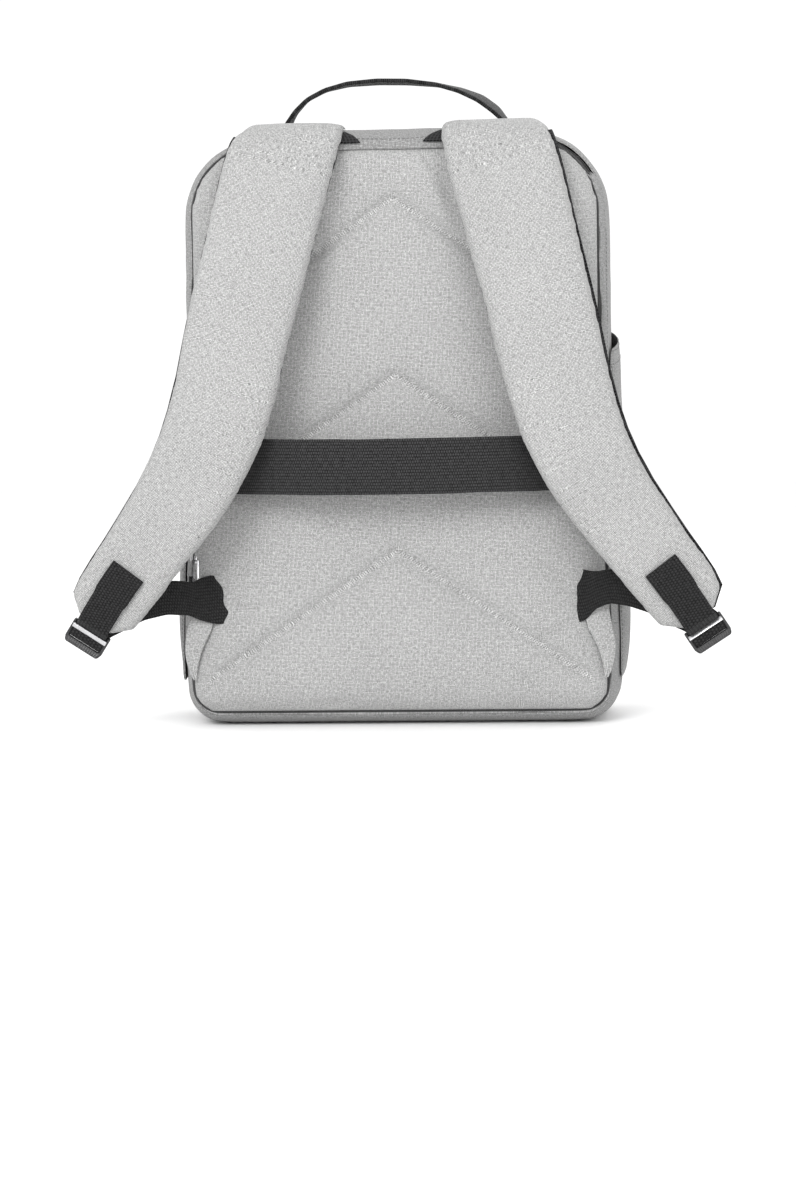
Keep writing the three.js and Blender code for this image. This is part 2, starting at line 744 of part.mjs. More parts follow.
function backBand() {
  const rim = [];
  for (const row of RIM.slice(3, 5)) {
    rim.push(point(halfWidth(BAND_HEIGHT) - SEAM_INSET * row.inset + 2 * GAP,
      SEAM_Y - PANEL_THICKNESS * row.depth - 2 * GAP, BAND_HEIGHT));
  }
  const edge = rim[1].x;
  for (const row of BAND_BACK) {
    rim.push(point(lerp(BAND_HOLD, edge, row.x), FACE_Y - 2 * GAP - BAND_BOW * row.bow, BAND_HEIGHT));
  }
  rim.push(point(0, FACE_Y - 2 * GAP - BAND_CREST, BAND_HEIGHT));
  const mirror = rim.slice(0, -1).reverse().map((p) => mirrored(p, -1));
  const path = [...rim, ...mirror];
  const stations = path.map((p, i) => {
    const along = path[Math.min(i + 1, path.length - 1)].clone().sub(path[Math.max(i - 1, 0)]).normalize();
    const out = point(-along.y, along.x, 0);
    const row = (lift) => [-1, 1].map((c) => (
      p.clone().addScaledVector(out, lift).add(point(0, 0, (c * BAND_WIDTH) / 2))
    ));
    return { outer: row(BAND_THICKNESS), inner: row(0) };
  });
  add('back_band', wall(stations, false), BLACK_WEBBING);
}

// The haul handle is a webbing arch on two feet sewn flat to the top of the gusset
const HANDLE_POWER = 2.2;
const HANDLE_STEPS = 18;

function haulHandle() {
  const half = HANDLE_SPAN / 2;
  const low = HANDLE_THICKNESS / 2;
  const path = [[-half - HANDLE_FOOT, low], [-half - low, low]];
  for (let i = 1; i < HANDLE_STEPS; i += 1) {
    const angle = Math.PI * (1 - i / HANDLE_STEPS);
    const power = 2 / HANDLE_POWER;
    const x = half * Math.sign(Math.cos(angle)) * Math.abs(Math.cos(angle)) ** power;
    path.push([x, low + HANDLE_RISE * Math.sin(angle) ** power]);
  }
  path.push([half + low, low], [half + HANDLE_FOOT, low]);
  const base = BODY_HEIGHT + GAP;
  const stations = path.map(([x, z], i) => {
    const before = path[Math.max(i - 1, 0)];
    const after = path[Math.min(i + 1, path.length - 1)];
    const along = new THREE.Vector2(after[0] - before[0], after[1] - before[1]).normalize();
    const row = (lift) => [-1, 1].map((c) => point(
      x - along.y * lift, HANDLE_Y + (c * HANDLE_WIDTH) / 2, base + z + along.x * lift,
    ));
    return { outer: row(low), inner: row(-low) };
  });
  add('haul_handle', wall(stations, false), BLACK_WEBBING);
}

// A zip pull: two thin bars joined at both ends. One hangs on its zip's tape.
function pullShape() {
  const rectangle = (half, high, low) => [
    [-half, low], [half, low], [half, high], [-half, high],
  ].map(([u, v]) => new THREE.Vector2(u, v));
  const bar = new THREE.Shape(rectangle(PULL_WIDTH / 2, 0, -PULL_LENGTH));
  bar.holes.push(new THREE.Path(rectangle(
    PULL_WIDTH / 2 - PULL_THICKNESS, -PULL_THICKNESS, PULL_THICKNESS - PULL_LENGTH,
  )));
  return extruded(bar, PULL_THICKNESS);
}

function mainZipPull() {
  const y = MAIN_ZIP_Y + MAIN_ZIP_WIDTH / 2;
  const top = POCKET_TOP + POCKET_SLANT + MAIN_PULL_ABOVE;
  const places = [top, top - PULL_LENGTH].flatMap((z) => (
    [y - PULL_WIDTH / 2, y + PULL_WIDTH / 2].map((edge) => bodySide(edge, z))
  ));
  const seat = Math.max(...places) - ZIP_RECESS + GAP;
  const turn = new THREE.Matrix4().makeBasis(point(0, 1, 0), point(0, 0, 1), point(1, 0, 0));
  add('main_zip_pull', pullShape().applyMatrix4(turn.setPosition(seat, y, top)), SILVER_METAL);
}

// This one hangs over the panel's rolled rim, where the lower webbing pinches the rim in
function laptopZipPull() {
  const top = LAPTOP_ZIP_END + LAPTOP_PULL_ABOVE;
  const x = -(halfWidth(top) - SEAM_INSET - PULL_WIDTH / 2 - 3 * GAP);
  const turn = new THREE.Matrix4().makeBasis(point(1, 0, 0), point(0, 0, 1), point(0, -1, 0));
  add('laptop_zip_pull', pullShape().applyMatrix4(turn.setPosition(x, CORNER_Y - GAP, top)), SILVER_METAL);
}

gusset();
frontStrip();
zipBand('laptop_zip', hasLaptopZip, SEAM_Y, LAPTOP_ZIP_WIDTH);
zipBand('main_zip', hasMainZip, MAIN_ZIP_Y, MAIN_ZIP_WIDTH);
backPanel();
frontPanel();
yoke();
backBand();
haulHandle();
for (const [word, side] of [['left', -1], ['right', 1]]) {
  sidePocket(`side_pocket_${word}`, side);
  shoulderStrap(`shoulder_strap_${word}`, side);
  strapLining(`strap_lining_${word}`, side);
  strapTab(`strap_tab_${word}`, side);
  buckle(`buckle_${word}`, side);
  anchorCorner(`anchor_corner_${word}`, side);
  lowerWebbing(`lower_webbing_${word}`, side);
}
laptopZipPull();
mainZipPull();

export default group;
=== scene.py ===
# %% [markdown]
# # A grey laptop backpack, from the side that is worn
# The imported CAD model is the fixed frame: every piece below is dressed onto it, in metres, with
# +Z up and the wearer's back towards -Y. A real bag is cut from flat cloth and sewn, so most pieces
# start from the shape that the frame already has, and get the softness, seams, threads and
# hardware that a plain solid lacks.

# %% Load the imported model
import math

import bpy
import numpy as np
from mathutils import Matrix, Vector, noise


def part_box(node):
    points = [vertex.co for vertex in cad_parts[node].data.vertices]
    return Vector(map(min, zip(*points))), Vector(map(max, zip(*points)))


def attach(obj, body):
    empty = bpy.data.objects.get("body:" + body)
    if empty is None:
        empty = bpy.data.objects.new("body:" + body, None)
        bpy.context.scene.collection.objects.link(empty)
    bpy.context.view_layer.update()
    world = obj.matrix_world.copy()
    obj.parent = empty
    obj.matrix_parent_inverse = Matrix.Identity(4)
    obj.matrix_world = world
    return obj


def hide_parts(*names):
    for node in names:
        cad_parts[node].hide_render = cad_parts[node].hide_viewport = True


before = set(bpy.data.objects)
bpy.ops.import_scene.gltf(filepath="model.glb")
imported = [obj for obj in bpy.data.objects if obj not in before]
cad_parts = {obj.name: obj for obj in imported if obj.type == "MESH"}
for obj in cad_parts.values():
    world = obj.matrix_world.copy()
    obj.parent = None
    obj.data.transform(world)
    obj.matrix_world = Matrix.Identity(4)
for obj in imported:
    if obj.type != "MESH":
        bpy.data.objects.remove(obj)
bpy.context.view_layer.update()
MM = 0.001

# %% [markdown]
# ## Camera
# The photograph was taken from about 1.7 m with a short telephoto lens, a little above the middle
# of the bag and a little to its right, so its right side shows more than its left. Placing the
# camera first means that every piece can be judged from where the picture was taken. The camera is
# built from its own directions (right, up and back), which is easier to get right than three angles.

# %% Camera
BACK_FACE = -0.0725
CAMERA_DISTANCE = 1.70
CAMERA_HEIGHT = 0.20
CAMERA_YAW = math.radians(4.0)
CAMERA_PITCH = math.radians(3.74)
CAMERA_ROLL = math.radians(-0.85)
FOCAL_PIXELS = 2462
PHOTO_HEIGHT = 1200


def aim_camera():
    forward = Vector((-math.sin(CAMERA_YAW) * math.cos(CAMERA_PITCH),
                      math.cos(CAMERA_YAW) * math.cos(CAMERA_PITCH),
                      -math.sin(CAMERA_PITCH)))
    right = Vector((math.cos(CAMERA_YAW), math.sin(CAMERA_YAW), 0))
    up = right.cross(forward)
    turn = Matrix((right, up, -forward)).transposed().to_4x4() @ Matrix.Rotation(CAMERA_ROLL, 4, "Z")
    place = Vector((CAMERA_DISTANCE * math.sin(CAMERA_YAW),
                    BACK_FACE - CAMERA_DISTANCE * math.cos(CAMERA_YAW), CAMERA_HEIGHT))
    bpy.ops.object.camera_add(location=place, rotation=turn.to_euler())
    camera = bpy.context.object
    camera.data.lens = camera.data.sensor_width * FOCAL_PIXELS / PHOTO_HEIGHT
    camera.data.clip_end = 60
    bpy.context.scene.camera = camera
    return camera


camera = aim_camera()
print("camera at", [round(v, 3) for v in camera.location], "lens", round(camera.data.lens, 1))

# %% [markdown]
# ## Floor and light
# The bag stands on a pale sheet in plain, soft studio light. A wide floor under a white sky gives
# the even light of the photograph, and two large soft lamps in front model the folds. A third one
# behind keeps the other side of the bag readable.

# %% Floor and light
SKY = 1.06
LAMPS = [
    {"name": "key", "place": (-0.8, -2.6, 1.5), "size": 1.2, "power": 53},
    {"name": "fill", "place": (1.1, -2.6, 0.8), "size": 1.6, "power": 25},
    {"name": "behind", "place": (0.6, 2.4, 1.8), "size": 2.0, "power": 20},
]


def add_floor():
    bpy.ops.object.select_all(action="DESELECT")
    bpy.ops.mesh.primitive_circle_add(vertices=96, radius=9, fill_type="NGON")
    floor = bpy.context.object
    floor.name = "floor"
    paint = bpy.data.materials.new("pale_floor")
    paint.use_nodes = True
    shader = paint.node_tree.nodes["Principled BSDF"]
    shader.inputs["Base Color"].default_value = (0.95, 0.95, 0.95, 1)
    shader.inputs["Roughness"].default_value = 0.85
    floor.data.materials.append(paint)
    return floor


def add_lamp(name, place, size, power):
    back = (Vector(place) - Vector((0, 0, 0.22))).normalized()
    bpy.ops.object.light_add(type="AREA", location=place, rotation=back.to_track_quat("Z", "Y").to_euler())
    lamp = bpy.context.object
    lamp.name = name
    lamp.data.size = size
    lamp.data.energy = power
    return lamp


floor = add_floor()
lamps = [add_lamp(**row) for row in LAMPS]
world = bpy.data.worlds.new("studio")
bpy.context.scene.world = world
world.use_nodes = True
world.node_tree.nodes["Background"].inputs["Color"].default_value = (1, 1, 1, 1)
world.node_tree.nodes["Background"].inputs["Strength"].default_value = SKY
bpy.context.scene.view_settings.view_transform = "Standard"
print("lamps", [lamp.name for lamp in lamps])

# %% [markdown]
# ## Small tools
# These are the moves that a hand makes over and over: pick one object, apply one modifier, and take
# a copy of a frame node. A frame node is loose triangles, so its copy is merged and its triangles
# are paired into quads, which subdivide into smooth cloth. Everything is deselected first, because
# an operator acts on all that is selected.

# %% Small tools
def pick(obj):
    bpy.ops.object.select_all(action="DESELECT")
    obj.select_set(True)
    bpy.context.view_layer.objects.active = obj
    return obj


def apply_modifier(obj, kind, **settings):
    pick(obj)
    modifier = obj.modifiers.new(kind.lower(), kind)
    for name, value in settings.items():
        setattr(modifier, name, value)
    bpy.ops.object.modifier_apply(modifier=modifier.name)
    return obj


def in_edit(obj, *steps):
    pick(obj)
    bpy.ops.object.mode_set(mode="EDIT")
    bpy.ops.mesh.select_all(action="SELECT")
    for step in steps:
        step()
    bpy.ops.object.mode_set(mode="OBJECT")
    return obj


def copy_node(node, name):
    obj = bpy.data.objects.new(name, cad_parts[node].data.copy())
    bpy.context.scene.collection.objects.link(obj)
    obj.data.materials.clear()
    pick(obj)
    bpy.ops.mesh.customdata_custom_splitnormals_clear()
    in_edit(obj, lambda: bpy.ops.mesh.remove_doubles(threshold=0.02 * MM),
            lambda: bpy.ops.mesh.tris_convert_to_quads(face_threshold=0.7, shape_threshold=1.2),
            lambda: bpy.ops.mesh.normals_make_consistent(inside=False))
    return obj


def places(obj):
    co = np.empty(len(obj.data.vertices) * 3)
    obj.data.vertices.foreach_get("co", co)
    return co.reshape(-1, 3)


def move_to(obj, co):
    obj.data.vertices.foreach_set("co", np.asarray(co, float).ravel())
    obj.data.update()


def normals(obj):
    n = np.empty(len(obj.data.vertices) * 3)
    obj.data.vertices.foreach_get("normal", n)
    return n.reshape(-1, 3)


def ripple(obj, depth, size, seed, share=None):
    """Lets the cloth wander along its normals, as a smooth noise of that depth and wave size."""
    co, n = places(obj), normals(obj)
    wave = np.array([noise.noise(Vector(p) / size + Vector((seed, 0, 0))) for p in co])
    if share is not None:
        wave = wave * share
    move_to(obj, co + n * (wave * depth)[:, None])


def finish_piece(obj, material, slot, *replaced):
    obj.data.materials.clear()
    obj.data.materials.append(material)
    obj.data.polygons.foreach_set("use_smooth", [True] * len(obj.data.polygons))
    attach(obj, "root")
    if replaced:
        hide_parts(*replaced)
    print(f"{obj.name}: {len(obj.data.polygons)} faces")
    return obj


# %% [markdown]
# ## Laying the weave along the cloth
# Threads follow the cut of the cloth: along a strap, round the gusset, and over the rolled edge of a
# pad. A pattern on plain object coordinates would smear there, so each piece gets a UV map in
# metres, worked out from its own place. The helper below writes one value per vertex.

# %% UV maps in metres
def lay_uv(obj, uv, period=0):
    layer = obj.data.uv_layers.new(name="cloth") if not obj.data.uv_layers else obj.data.uv_layers[0]
    layer.name = "cloth"
    corner = np.empty(len(obj.data.loops), int)
    obj.data.loops.foreach_get("vertex_index", corner)
    spread = np.asarray(uv, float)[corner]
    if period:
        start = np.empty(len(obj.data.polygons), int)
        count = np.empty(len(obj.data.polygons), int)
        obj.data.polygons.foreach_get("loop_start", start)
        obj.data.polygons.foreach_get("loop_total", count)
        owner = np.repeat(start, count)
        jump = spread[:, 0] - spread[owner, 0]
        spread[:, 0] -= period * np.round(jump / period)
    layer.data.foreach_set("uv", spread.ravel())
    return obj


def track_uv(points, track, length, across):
    """Length along a track and place across it, for points near the track's nearest station."""
    points = np.asarray(points)
    nearest = np.empty(len(points), int)
    for start in range(0, len(points), 4000):
        part = points[start:start + 4000]
        far = ((part[:, None, :] - track[None, :, :]) ** 2).sum(2)
        nearest[start:start + 4000] = far.argmin(1)
    gap = points - track[nearest]
    along = np.gradient(track, axis=0)
    along /= np.linalg.norm(along, axis=1)[:, None]
    return (gap * across[nearest]).sum(1), length[nearest] + (gap * along[nearest]).sum(1), nearest, gap


# %% [markdown]
# ## Materials: thread, weave and yarn colour
# The grey cloth is a plain weave of heathered polyester: every yarn is a little lighter or darker
# along its length, in flecks a few millimetres long. A node group makes that pattern once, so that
# every cloth piece can share it. It gives a height for the bump and a shade for the colour. The
# threads pass over and under each other like a checkerboard, and the flecks are noise that is
# stretched along whichever thread lies on top.

# %% Node helpers
def link_node(tree, kind, values=None, **settings):
    """One new node. A value is either a plain number or another node's output socket."""
    made = tree.nodes.new(kind)
    for name, value in settings.items():
        setattr(made, name, value)
    for name, value in (values or {}).items():
        if isinstance(value, bpy.types.NodeSocket):
            tree.links.new(value, made.inputs[name])
        else:
            made.inputs[name].default_value = value
    return made


def sum_node(tree, operation, *values):
    return link_node(tree, "ShaderNodeMath", dict(enumerate(values)), operation=operation).outputs[0]


def ease(tree, value, from_low, from_high, to_low=0.0, to_high=1.0):
    return link_node(tree, "ShaderNodeMapRange", {
        "Value": value, "From Min": from_low, "From Max": from_high, "To Min": to_low, "To Max": to_high,
    }).outputs["Result"]


def blend_values(tree, share, low, high):
    return link_node(tree, "ShaderNodeMix", {0: share, 2: low, 3: high}, data_type="FLOAT").outputs[0]


def stretched_noise(tree, vector, scale, detail=2.0):
    """A 2-D noise with its own scale each way, in waves per metre. It varies around a half."""
    mapped = link_node(tree, "ShaderNodeMapping", {"Vector": vector, "Scale": scale})
    return link_node(tree, "ShaderNodeTexNoise", {
        "Vector": mapped.outputs["Vector"], "Scale": 1.0, "Detail": detail, "Roughness": 0.55,
    }, noise_dimensions="2D").outputs[0]


def new_group(name, takes, gives):
    tree = bpy.data.node_groups.new(name, "ShaderNodeTree")
    for label, kind, value in takes:
        socket = tree.interface.new_socket(label, in_out="INPUT", socket_type=kind)
        if value is not None:
            socket.default_value = value
    for label in gives:
        tree.interface.new_socket(label, in_out="OUTPUT", socket_type="NodeSocketFloat")
    return tree, tree.nodes.new("NodeGroupInput").outputs, tree.nodes.new("NodeGroupOutput")


def crest(tree, value):
    """A row of rounded ridges, one per whole number."""
    return sum_node(tree, "ABSOLUTE", sum_node(tree, "SINE", sum_node(tree, "MULTIPLY", value, math.pi)))


# %% Plain weave
def weave_group():
    tree, takes, gives = new_group("plain_weave", [
        ("UV", "NodeSocketVector", None), ("Pitch", "NodeSocketFloat", 0.00092),
    ], ["Height", "Shade"])
    split = link_node(tree, "ShaderNodeSeparateXYZ", {"Vector": takes["UV"]})
    u = sum_node(tree, "DIVIDE", split.outputs["X"], takes["Pitch"])
    v = sum_node(tree, "DIVIDE", split.outputs["Y"], takes["Pitch"])
    rows = sum_node(tree, "ADD", sum_node(tree, "FLOOR", u), sum_node(tree, "FLOOR", v))
    over = sum_node(tree, "FLOORED_MODULO", rows, 2.0)
    warp = crest(tree, u)
    weft = crest(tree, v)
    warp_top = sum_node(tree, "MULTIPLY", warp, ease(tree, weft, 0, 1, 0.45, 1))
    weft_top = sum_node(tree, "MULTIPLY", weft, ease(tree, warp, 0, 1, 0.45, 1))
    height = blend_values(tree, over, weft_top, warp_top)
    warp_yarn = stretched_noise(tree, takes["UV"], (1250, 330, 1))
    weft_yarn = stretched_noise(tree, takes["UV"], (300, 1250, 1))
    shade = blend_values(tree, over, weft_yarn, warp_yarn)
    tree.links.new(height, gives.inputs["Height"])
    tree.links.new(shade, gives.inputs["Shade"])
    return tree


WEAVE = weave_group()


def cloth_uv(tree):
    return link_node(tree, "ShaderNodeUVMap", uv_map="cloth").outputs["UV"]


def use_group(tree, group, **values):
    made = tree.nodes.new("ShaderNodeGroup")
    made.node_tree = group
    for name, value in values.items():
        if isinstance(value, bpy.types.NodeSocket):
            tree.links.new(value, made.inputs[name])
        else:
            made.inputs[name].default_value = value
    return made.outputs


def ramp(tree, value, stops):
    """A colour ramp from grey levels or colours at their places."""
    made = link_node(tree, "ShaderNodeValToRGB", {"Fac": value})
    elements = made.color_ramp.elements
    while len(elements) < len(stops):
        elements.new(0.5)
    for element, (position, color) in zip(elements, stops):
        element.position = position
        element.color = (*color, 1)
    return made.outputs["Color"]


def start_material(name, roughness, specular=0.5, metallic=0.0, sheen=0.0):
    made = bpy.data.materials.new(name)
    made.use_nodes = True
    shader = made.node_tree.nodes["Principled BSDF"]
    shader.inputs["Roughness"].default_value = roughness
    shader.inputs["Specular IOR Level"].default_value = specular
    shader.inputs["Metallic"].default_value = metallic
    shader.inputs["Sheen Weight"].default_value = sheen
    return made, made.node_tree, shader


def bump(tree, shader, height, distance, strength=1.0):
    made = link_node(tree, "ShaderNodeBump", {"Height": height, "Distance": distance, "Strength": strength})
    tree.links.new(made.outputs["Normal"], shader.inputs["Normal"])


# %% [markdown]
# ## The grey cloth
# Its colour comes from three scales at once: the flecks in each yarn, small painted shadows in the holes
# between yarns, and a faint unevenness over a hand's width, as all large cut pieces show. A darker copy
# is painted shade for the gusset, the yoke and the pockets, which face away from the lamps and sit a
# tone below the straps.

# %% Grey cloth
def grey_cloth(name, dark, light, hole=0.62):
    made, tree, shader = start_material(name, 0.9, specular=0.25, sheen=0.18)
    shader.inputs["Sheen Roughness"].default_value = 0.5
    uv = cloth_uv(tree)
    weave = use_group(tree, WEAVE, UV=uv)
    position = link_node(tree, "ShaderNodeTexCoord").outputs["Object"]
    broad = link_node(tree, "ShaderNodeTexNoise", {"Vector": position, "Scale": 22.0, "Detail": 2.0}).outputs[0]
    fleck = ease(tree, weave["Shade"], 0.27, 0.73)
    tone = sum_node(tree, "ADD", fleck, ease(tree, broad, 0.3, 0.7, -0.03, 0.03))
    yarn = ramp(tree, tone, [(0.0, dark), (0.5, tuple((a + b) / 2 for a, b in zip(dark, light))), (1.0, light)])
    shadow = ease(tree, weave["Height"], 0.05, 0.7, hole, 1.0)
    tint = link_node(tree, "ShaderNodeVectorMath", {0: yarn}, operation="SCALE")
    tree.links.new(shadow, tint.inputs["Scale"])
    tree.links.new(tint.outputs["Vector"], shader.inputs["Base Color"])
    tree.links.new(ease(tree, fleck, 0, 1, 0.82, 0.97), shader.inputs["Roughness"])
    bump(tree, shader, weave["Height"], 0.00022, 0.8)
    return made


CLOTH_GREY = grey_cloth("grey_weave", (0.25, 0.25, 0.248), (0.60, 0.60, 0.595), hole=0.22)
# the same cloth at about 0.7 of the brightness: painted shade for the pieces that face away from the lamps
CLOTH_SHADED_COPY = grey_cloth("grey_weave_painted_shade", (0.17, 0.17, 0.169), (0.43, 0.43, 0.427), hole=0.22)
print("cloths", CLOTH_GREY.name, CLOTH_SHADED_COPY.name)

# %% [markdown]
# ## Webbing
# The handle, the band and the strap webbing are black polyester webbing. Its face shows short ribs
# across the width, in columns that are set half a rib apart, so it looks like a fine grid. The UV
# map of a webbing runs across it in X and along it in Y.

# %% Webbing
def webbing_group():
    tree, takes, gives = new_group("webbing_ribs", [
        ("UV", "NodeSocketVector", None), ("Rib", "NodeSocketFloat", 0.0012),
        ("Column", "NodeSocketFloat", 0.0016),
    ], ["Height", "Shade"])
    split = link_node(tree, "ShaderNodeSeparateXYZ", {"Vector": takes["UV"]})
    column = sum_node(tree, "DIVIDE", split.outputs["X"], takes["Column"])
    shift = sum_node(tree, "MULTIPLY", sum_node(tree, "FLOORED_MODULO", sum_node(tree, "FLOOR", column), 2.0), 0.5)
    rib = sum_node(tree, "ADD", sum_node(tree, "DIVIDE", split.outputs["Y"], takes["Rib"]), shift)
    ridge = sum_node(tree, "POWER", crest(tree, rib), 0.7)
    height = sum_node(tree, "MULTIPLY", ridge, ease(tree, crest(tree, column), 0, 1, 0.4, 1))
    yarn = stretched_noise(tree, takes["UV"], (900, 260, 1))
    tree.links.new(height, gives.inputs["Height"])
    # the rib height goes into the colour: the grooves between ribs are darker, painted shade on top of the yarn's
    # own tone
    share = sum_node(tree, "MULTIPLY", height, 0.6)
    tree.links.new(sum_node(tree, "ADD", share, sum_node(tree, "MULTIPLY", yarn, 0.5)),
                   gives.inputs["Shade"])
    return tree


RIBS = webbing_group()


def black_webbing(name, rib, column, dark, light):
    made, tree, shader = start_material(name, 0.85, specular=0.14, sheen=0.05)
    ribs = use_group(tree, RIBS, UV=cloth_uv(tree), Rib=rib, Column=column)
    color = ramp(tree, ribs["Shade"], [(0.35, dark), (0.85, light)])
    tree.links.new(color, shader.inputs["Base Color"])
    tree.links.new(ease(tree, ribs["Shade"], 0.1, 1, 0.85, 0.55), shader.inputs["Roughness"])
    bump(tree, shader, ribs["Height"], 0.00035)
    return made


WEB_BLACK = black_webbing("black_webbing", 0.0019, 0.0023, (0.0008, 0.0008, 0.0008), (0.022, 0.022, 0.0224))
BAND_BLACK = black_webbing("band_webbing", 0.0017, 0.0021, (0.0015, 0.0015, 0.0015), (0.038, 0.038, 0.0388))
HANDLE_BLACK = black_webbing("handle_webbing", 0.0015, 0.0018, (0.002, 0.002, 0.002), (0.046, 0.046, 0.047))
print("webbings", WEB_BLACK.name, BAND_BLACK.name, HANDLE_BLACK.name)

# %% [markdown]
# ## Mesh, plastic, metal, thread and zip tape
# The straps are lined with black spacer mesh, a knit with small round holes, which a cell pattern
# gives. The buckles are satin moulded plastic with the faint grain of a mould, the pulls are nickel
# with fine brushing, and the zip tape is a close twill.

# %% Other finishes
def spacer_mesh():
    made, tree, shader = start_material("black_mesh", 0.95, specular=0.12, sheen=0.04)
    cells = link_node(tree, "ShaderNodeTexVoronoi", {
        "Vector": cloth_uv(tree), "Scale": 420.0, "Randomness": 0.12,
    }, voronoi_dimensions="2D")
    # the holes of the knit get a darker colour than its yarns: painted shade in the holes
    edge = ease(tree, cells.outputs["Distance"], 0.18, 0.5)
    tree.links.new(ramp(tree, edge, [(0.0, (0.002, 0.002, 0.002)), (1.0, (0.03, 0.03, 0.031))]),
                   shader.inputs["Base Color"])
    bump(tree, shader, edge, 0.0005)
    return made


def grained(name, color, worn, roughness, metallic, scale, depth, stretch=(1, 1, 1), specular=0.5):
    """Moulded or plated surfaces: a fine grain in the bump and the roughness, and patches of a slightly lighter,
    worn colour.
    """
    made, tree, shader = start_material(name, roughness, metallic=metallic, specular=specular)
    position = link_node(tree, "ShaderNodeTexCoord").outputs["Object"]
    mapped = link_node(tree, "ShaderNodeMapping", {"Vector": position, "Scale": stretch}).outputs["Vector"]
    grain = link_node(tree, "ShaderNodeTexNoise", {"Vector": mapped, "Scale": scale, "Detail": 3.0}).outputs[0]
    patch = link_node(tree, "ShaderNodeTexNoise", {"Vector": position, "Scale": 160.0, "Detail": 2.0}).outputs[0]
    tree.links.new(ramp(tree, patch, [(0.35, color), (0.75, worn)]), shader.inputs["Base Color"])
    tree.links.new(ease(tree, grain, 0.3, 0.7, roughness - 0.06, roughness + 0.08), shader.inputs["Roughness"])
    bump(tree, shader, grain, depth)
    return made


def zip_tape():
    made, tree, shader = start_material("zip_tape", 0.8, specular=0.3, sheen=0.2)
    split = link_node(tree, "ShaderNodeSeparateXYZ", {"Vector": cloth_uv(tree)})
    slant = sum_node(tree, "ADD", split.outputs["X"], split.outputs["Y"])
    twill = crest(tree, sum_node(tree, "MULTIPLY", slant, 1500.0))
    # the grooves of the twill are darker than its ridges: painted shade
    tree.links.new(ramp(tree, twill, [(0.0, (0.008, 0.008, 0.008)), (1.0, (0.03, 0.03, 0.031))]),
                   shader.inputs["Base Color"])
    bump(tree, shader, twill, 0.0002)
    return made


def thread(name, dark, light):
    made, tree, shader = start_material(name, 0.75, specular=0.35, sheen=0.2)
    position = link_node(tree, "ShaderNodeTexCoord").outputs["Object"]
    twist = link_node(tree, "ShaderNodeTexWave", {"Vector": position, "Scale": 900.0, "Distortion": 1.5},
                      bands_direction="DIAGONAL").outputs["Fac"]
    # the grooves of the twist are darker: painted shade
    tree.links.new(ramp(tree, twist, [(0.0, dark), (1.0, light)]), shader.inputs["Base Color"])
    bump(tree, shader, twist, 0.0001)
    return made


MESH_BLACK = spacer_mesh()
TAPE_BLACK = zip_tape()
PLASTIC = grained("black_plastic", (0.010, 0.010, 0.0105), (0.02, 0.02, 0.021), 0.36, 0, 1800, 0.00004)
NICKEL = grained("silver_metal", (0.55, 0.55, 0.56), (0.68, 0.68, 0.69), 0.27, 1, 2500, 0.00002, (1, 1, 0.12))
COIL = grained("zip_coil", (0.012, 0.012, 0.012), (0.02, 0.02, 0.02), 0.42, 0, 900, 0.00003)
# far darker than the cloth: the thread's grey is partly painted shade for the pits where the stitches pull the
# cloth in
GREY_THREAD_AND_PIT_SHADE = thread("grey_thread_and_pit_shade", (0.045, 0.045, 0.0447), (0.16, 0.16, 0.159))
BLACK_THREAD = thread("black_thread", (0.002, 0.002, 0.002), (0.012, 0.012, 0.0125))
print("finishes", len(bpy.data.materials))

# %% [markdown]
# ## The bag's outline
# Seen from behind, the bag is a tall box with round top corners, small round corners at the base and
# sides that sag outwards near the base. The same outline is needed for the cloth of the gusset, the zips and
# the seams, so it is worked out once, as a closed line of points with their outward directions.

# %% Bag outline
BAG_WIDTH, BAG_HEIGHT = 301 * MM, 414 * MM
TOP_RADIUS, BASE_RADIUS = 58 * MM, 26 * MM
SAG, SAG_HEIGHT, SAG_SPAN = 6.5 * MM, 58 * MM, 70 * MM


def half_width(z):
    return BAG_WIDTH / 2 + SAG * math.exp(-((z - SAG_HEIGHT) / SAG_SPAN) ** 2)


def bag_outline(inset=0.0, step=5 * MM):
    """Points and outward directions from the middle of the base, up the right side and round."""
    half, right = BAG_WIDTH / 2, []
    def place(x, z, angle):
        out = Vector((math.cos(angle), 0, math.sin(angle)))
        right.append((Vector((x * half_width(z) / half, 0, z)) - out * inset, out))
    def line(a, b, angle):
        count = max(2, round((Vector(b) - Vector(a)).length / step))
        for i in range(count):
            place(a[0] + (b[0] - a[0]) * i / count, a[1] + (b[1] - a[1]) * i / count, angle)
    def arc(cx, cz, radius, start, end):
        count = max(6, round(radius * abs(end - start) / step))
        for i in range(count):
            angle = start + (end - start) * i / count
            place(cx + radius * math.cos(angle), cz + radius * math.sin(angle), angle)
    line((0, 0), (half - BASE_RADIUS, 0), -math.pi / 2)
    arc(half - BASE_RADIUS, BASE_RADIUS, BASE_RADIUS, -math.pi / 2, 0)
    line((half, BASE_RADIUS), (half, BAG_HEIGHT - TOP_RADIUS), 0)
    arc(half - TOP_RADIUS, BAG_HEIGHT - TOP_RADIUS, TOP_RADIUS, 0, math.pi / 2)
    line((half - TOP_RADIUS, BAG_HEIGHT), (0, BAG_HEIGHT), math.pi / 2)
    place(0, BAG_HEIGHT, math.pi / 2)
    left = [(Vector((-p.x, 0, p.z)), Vector((-n.x, 0, n.z))) for p, n in right[1:-1]]
    return right + left[::-1]


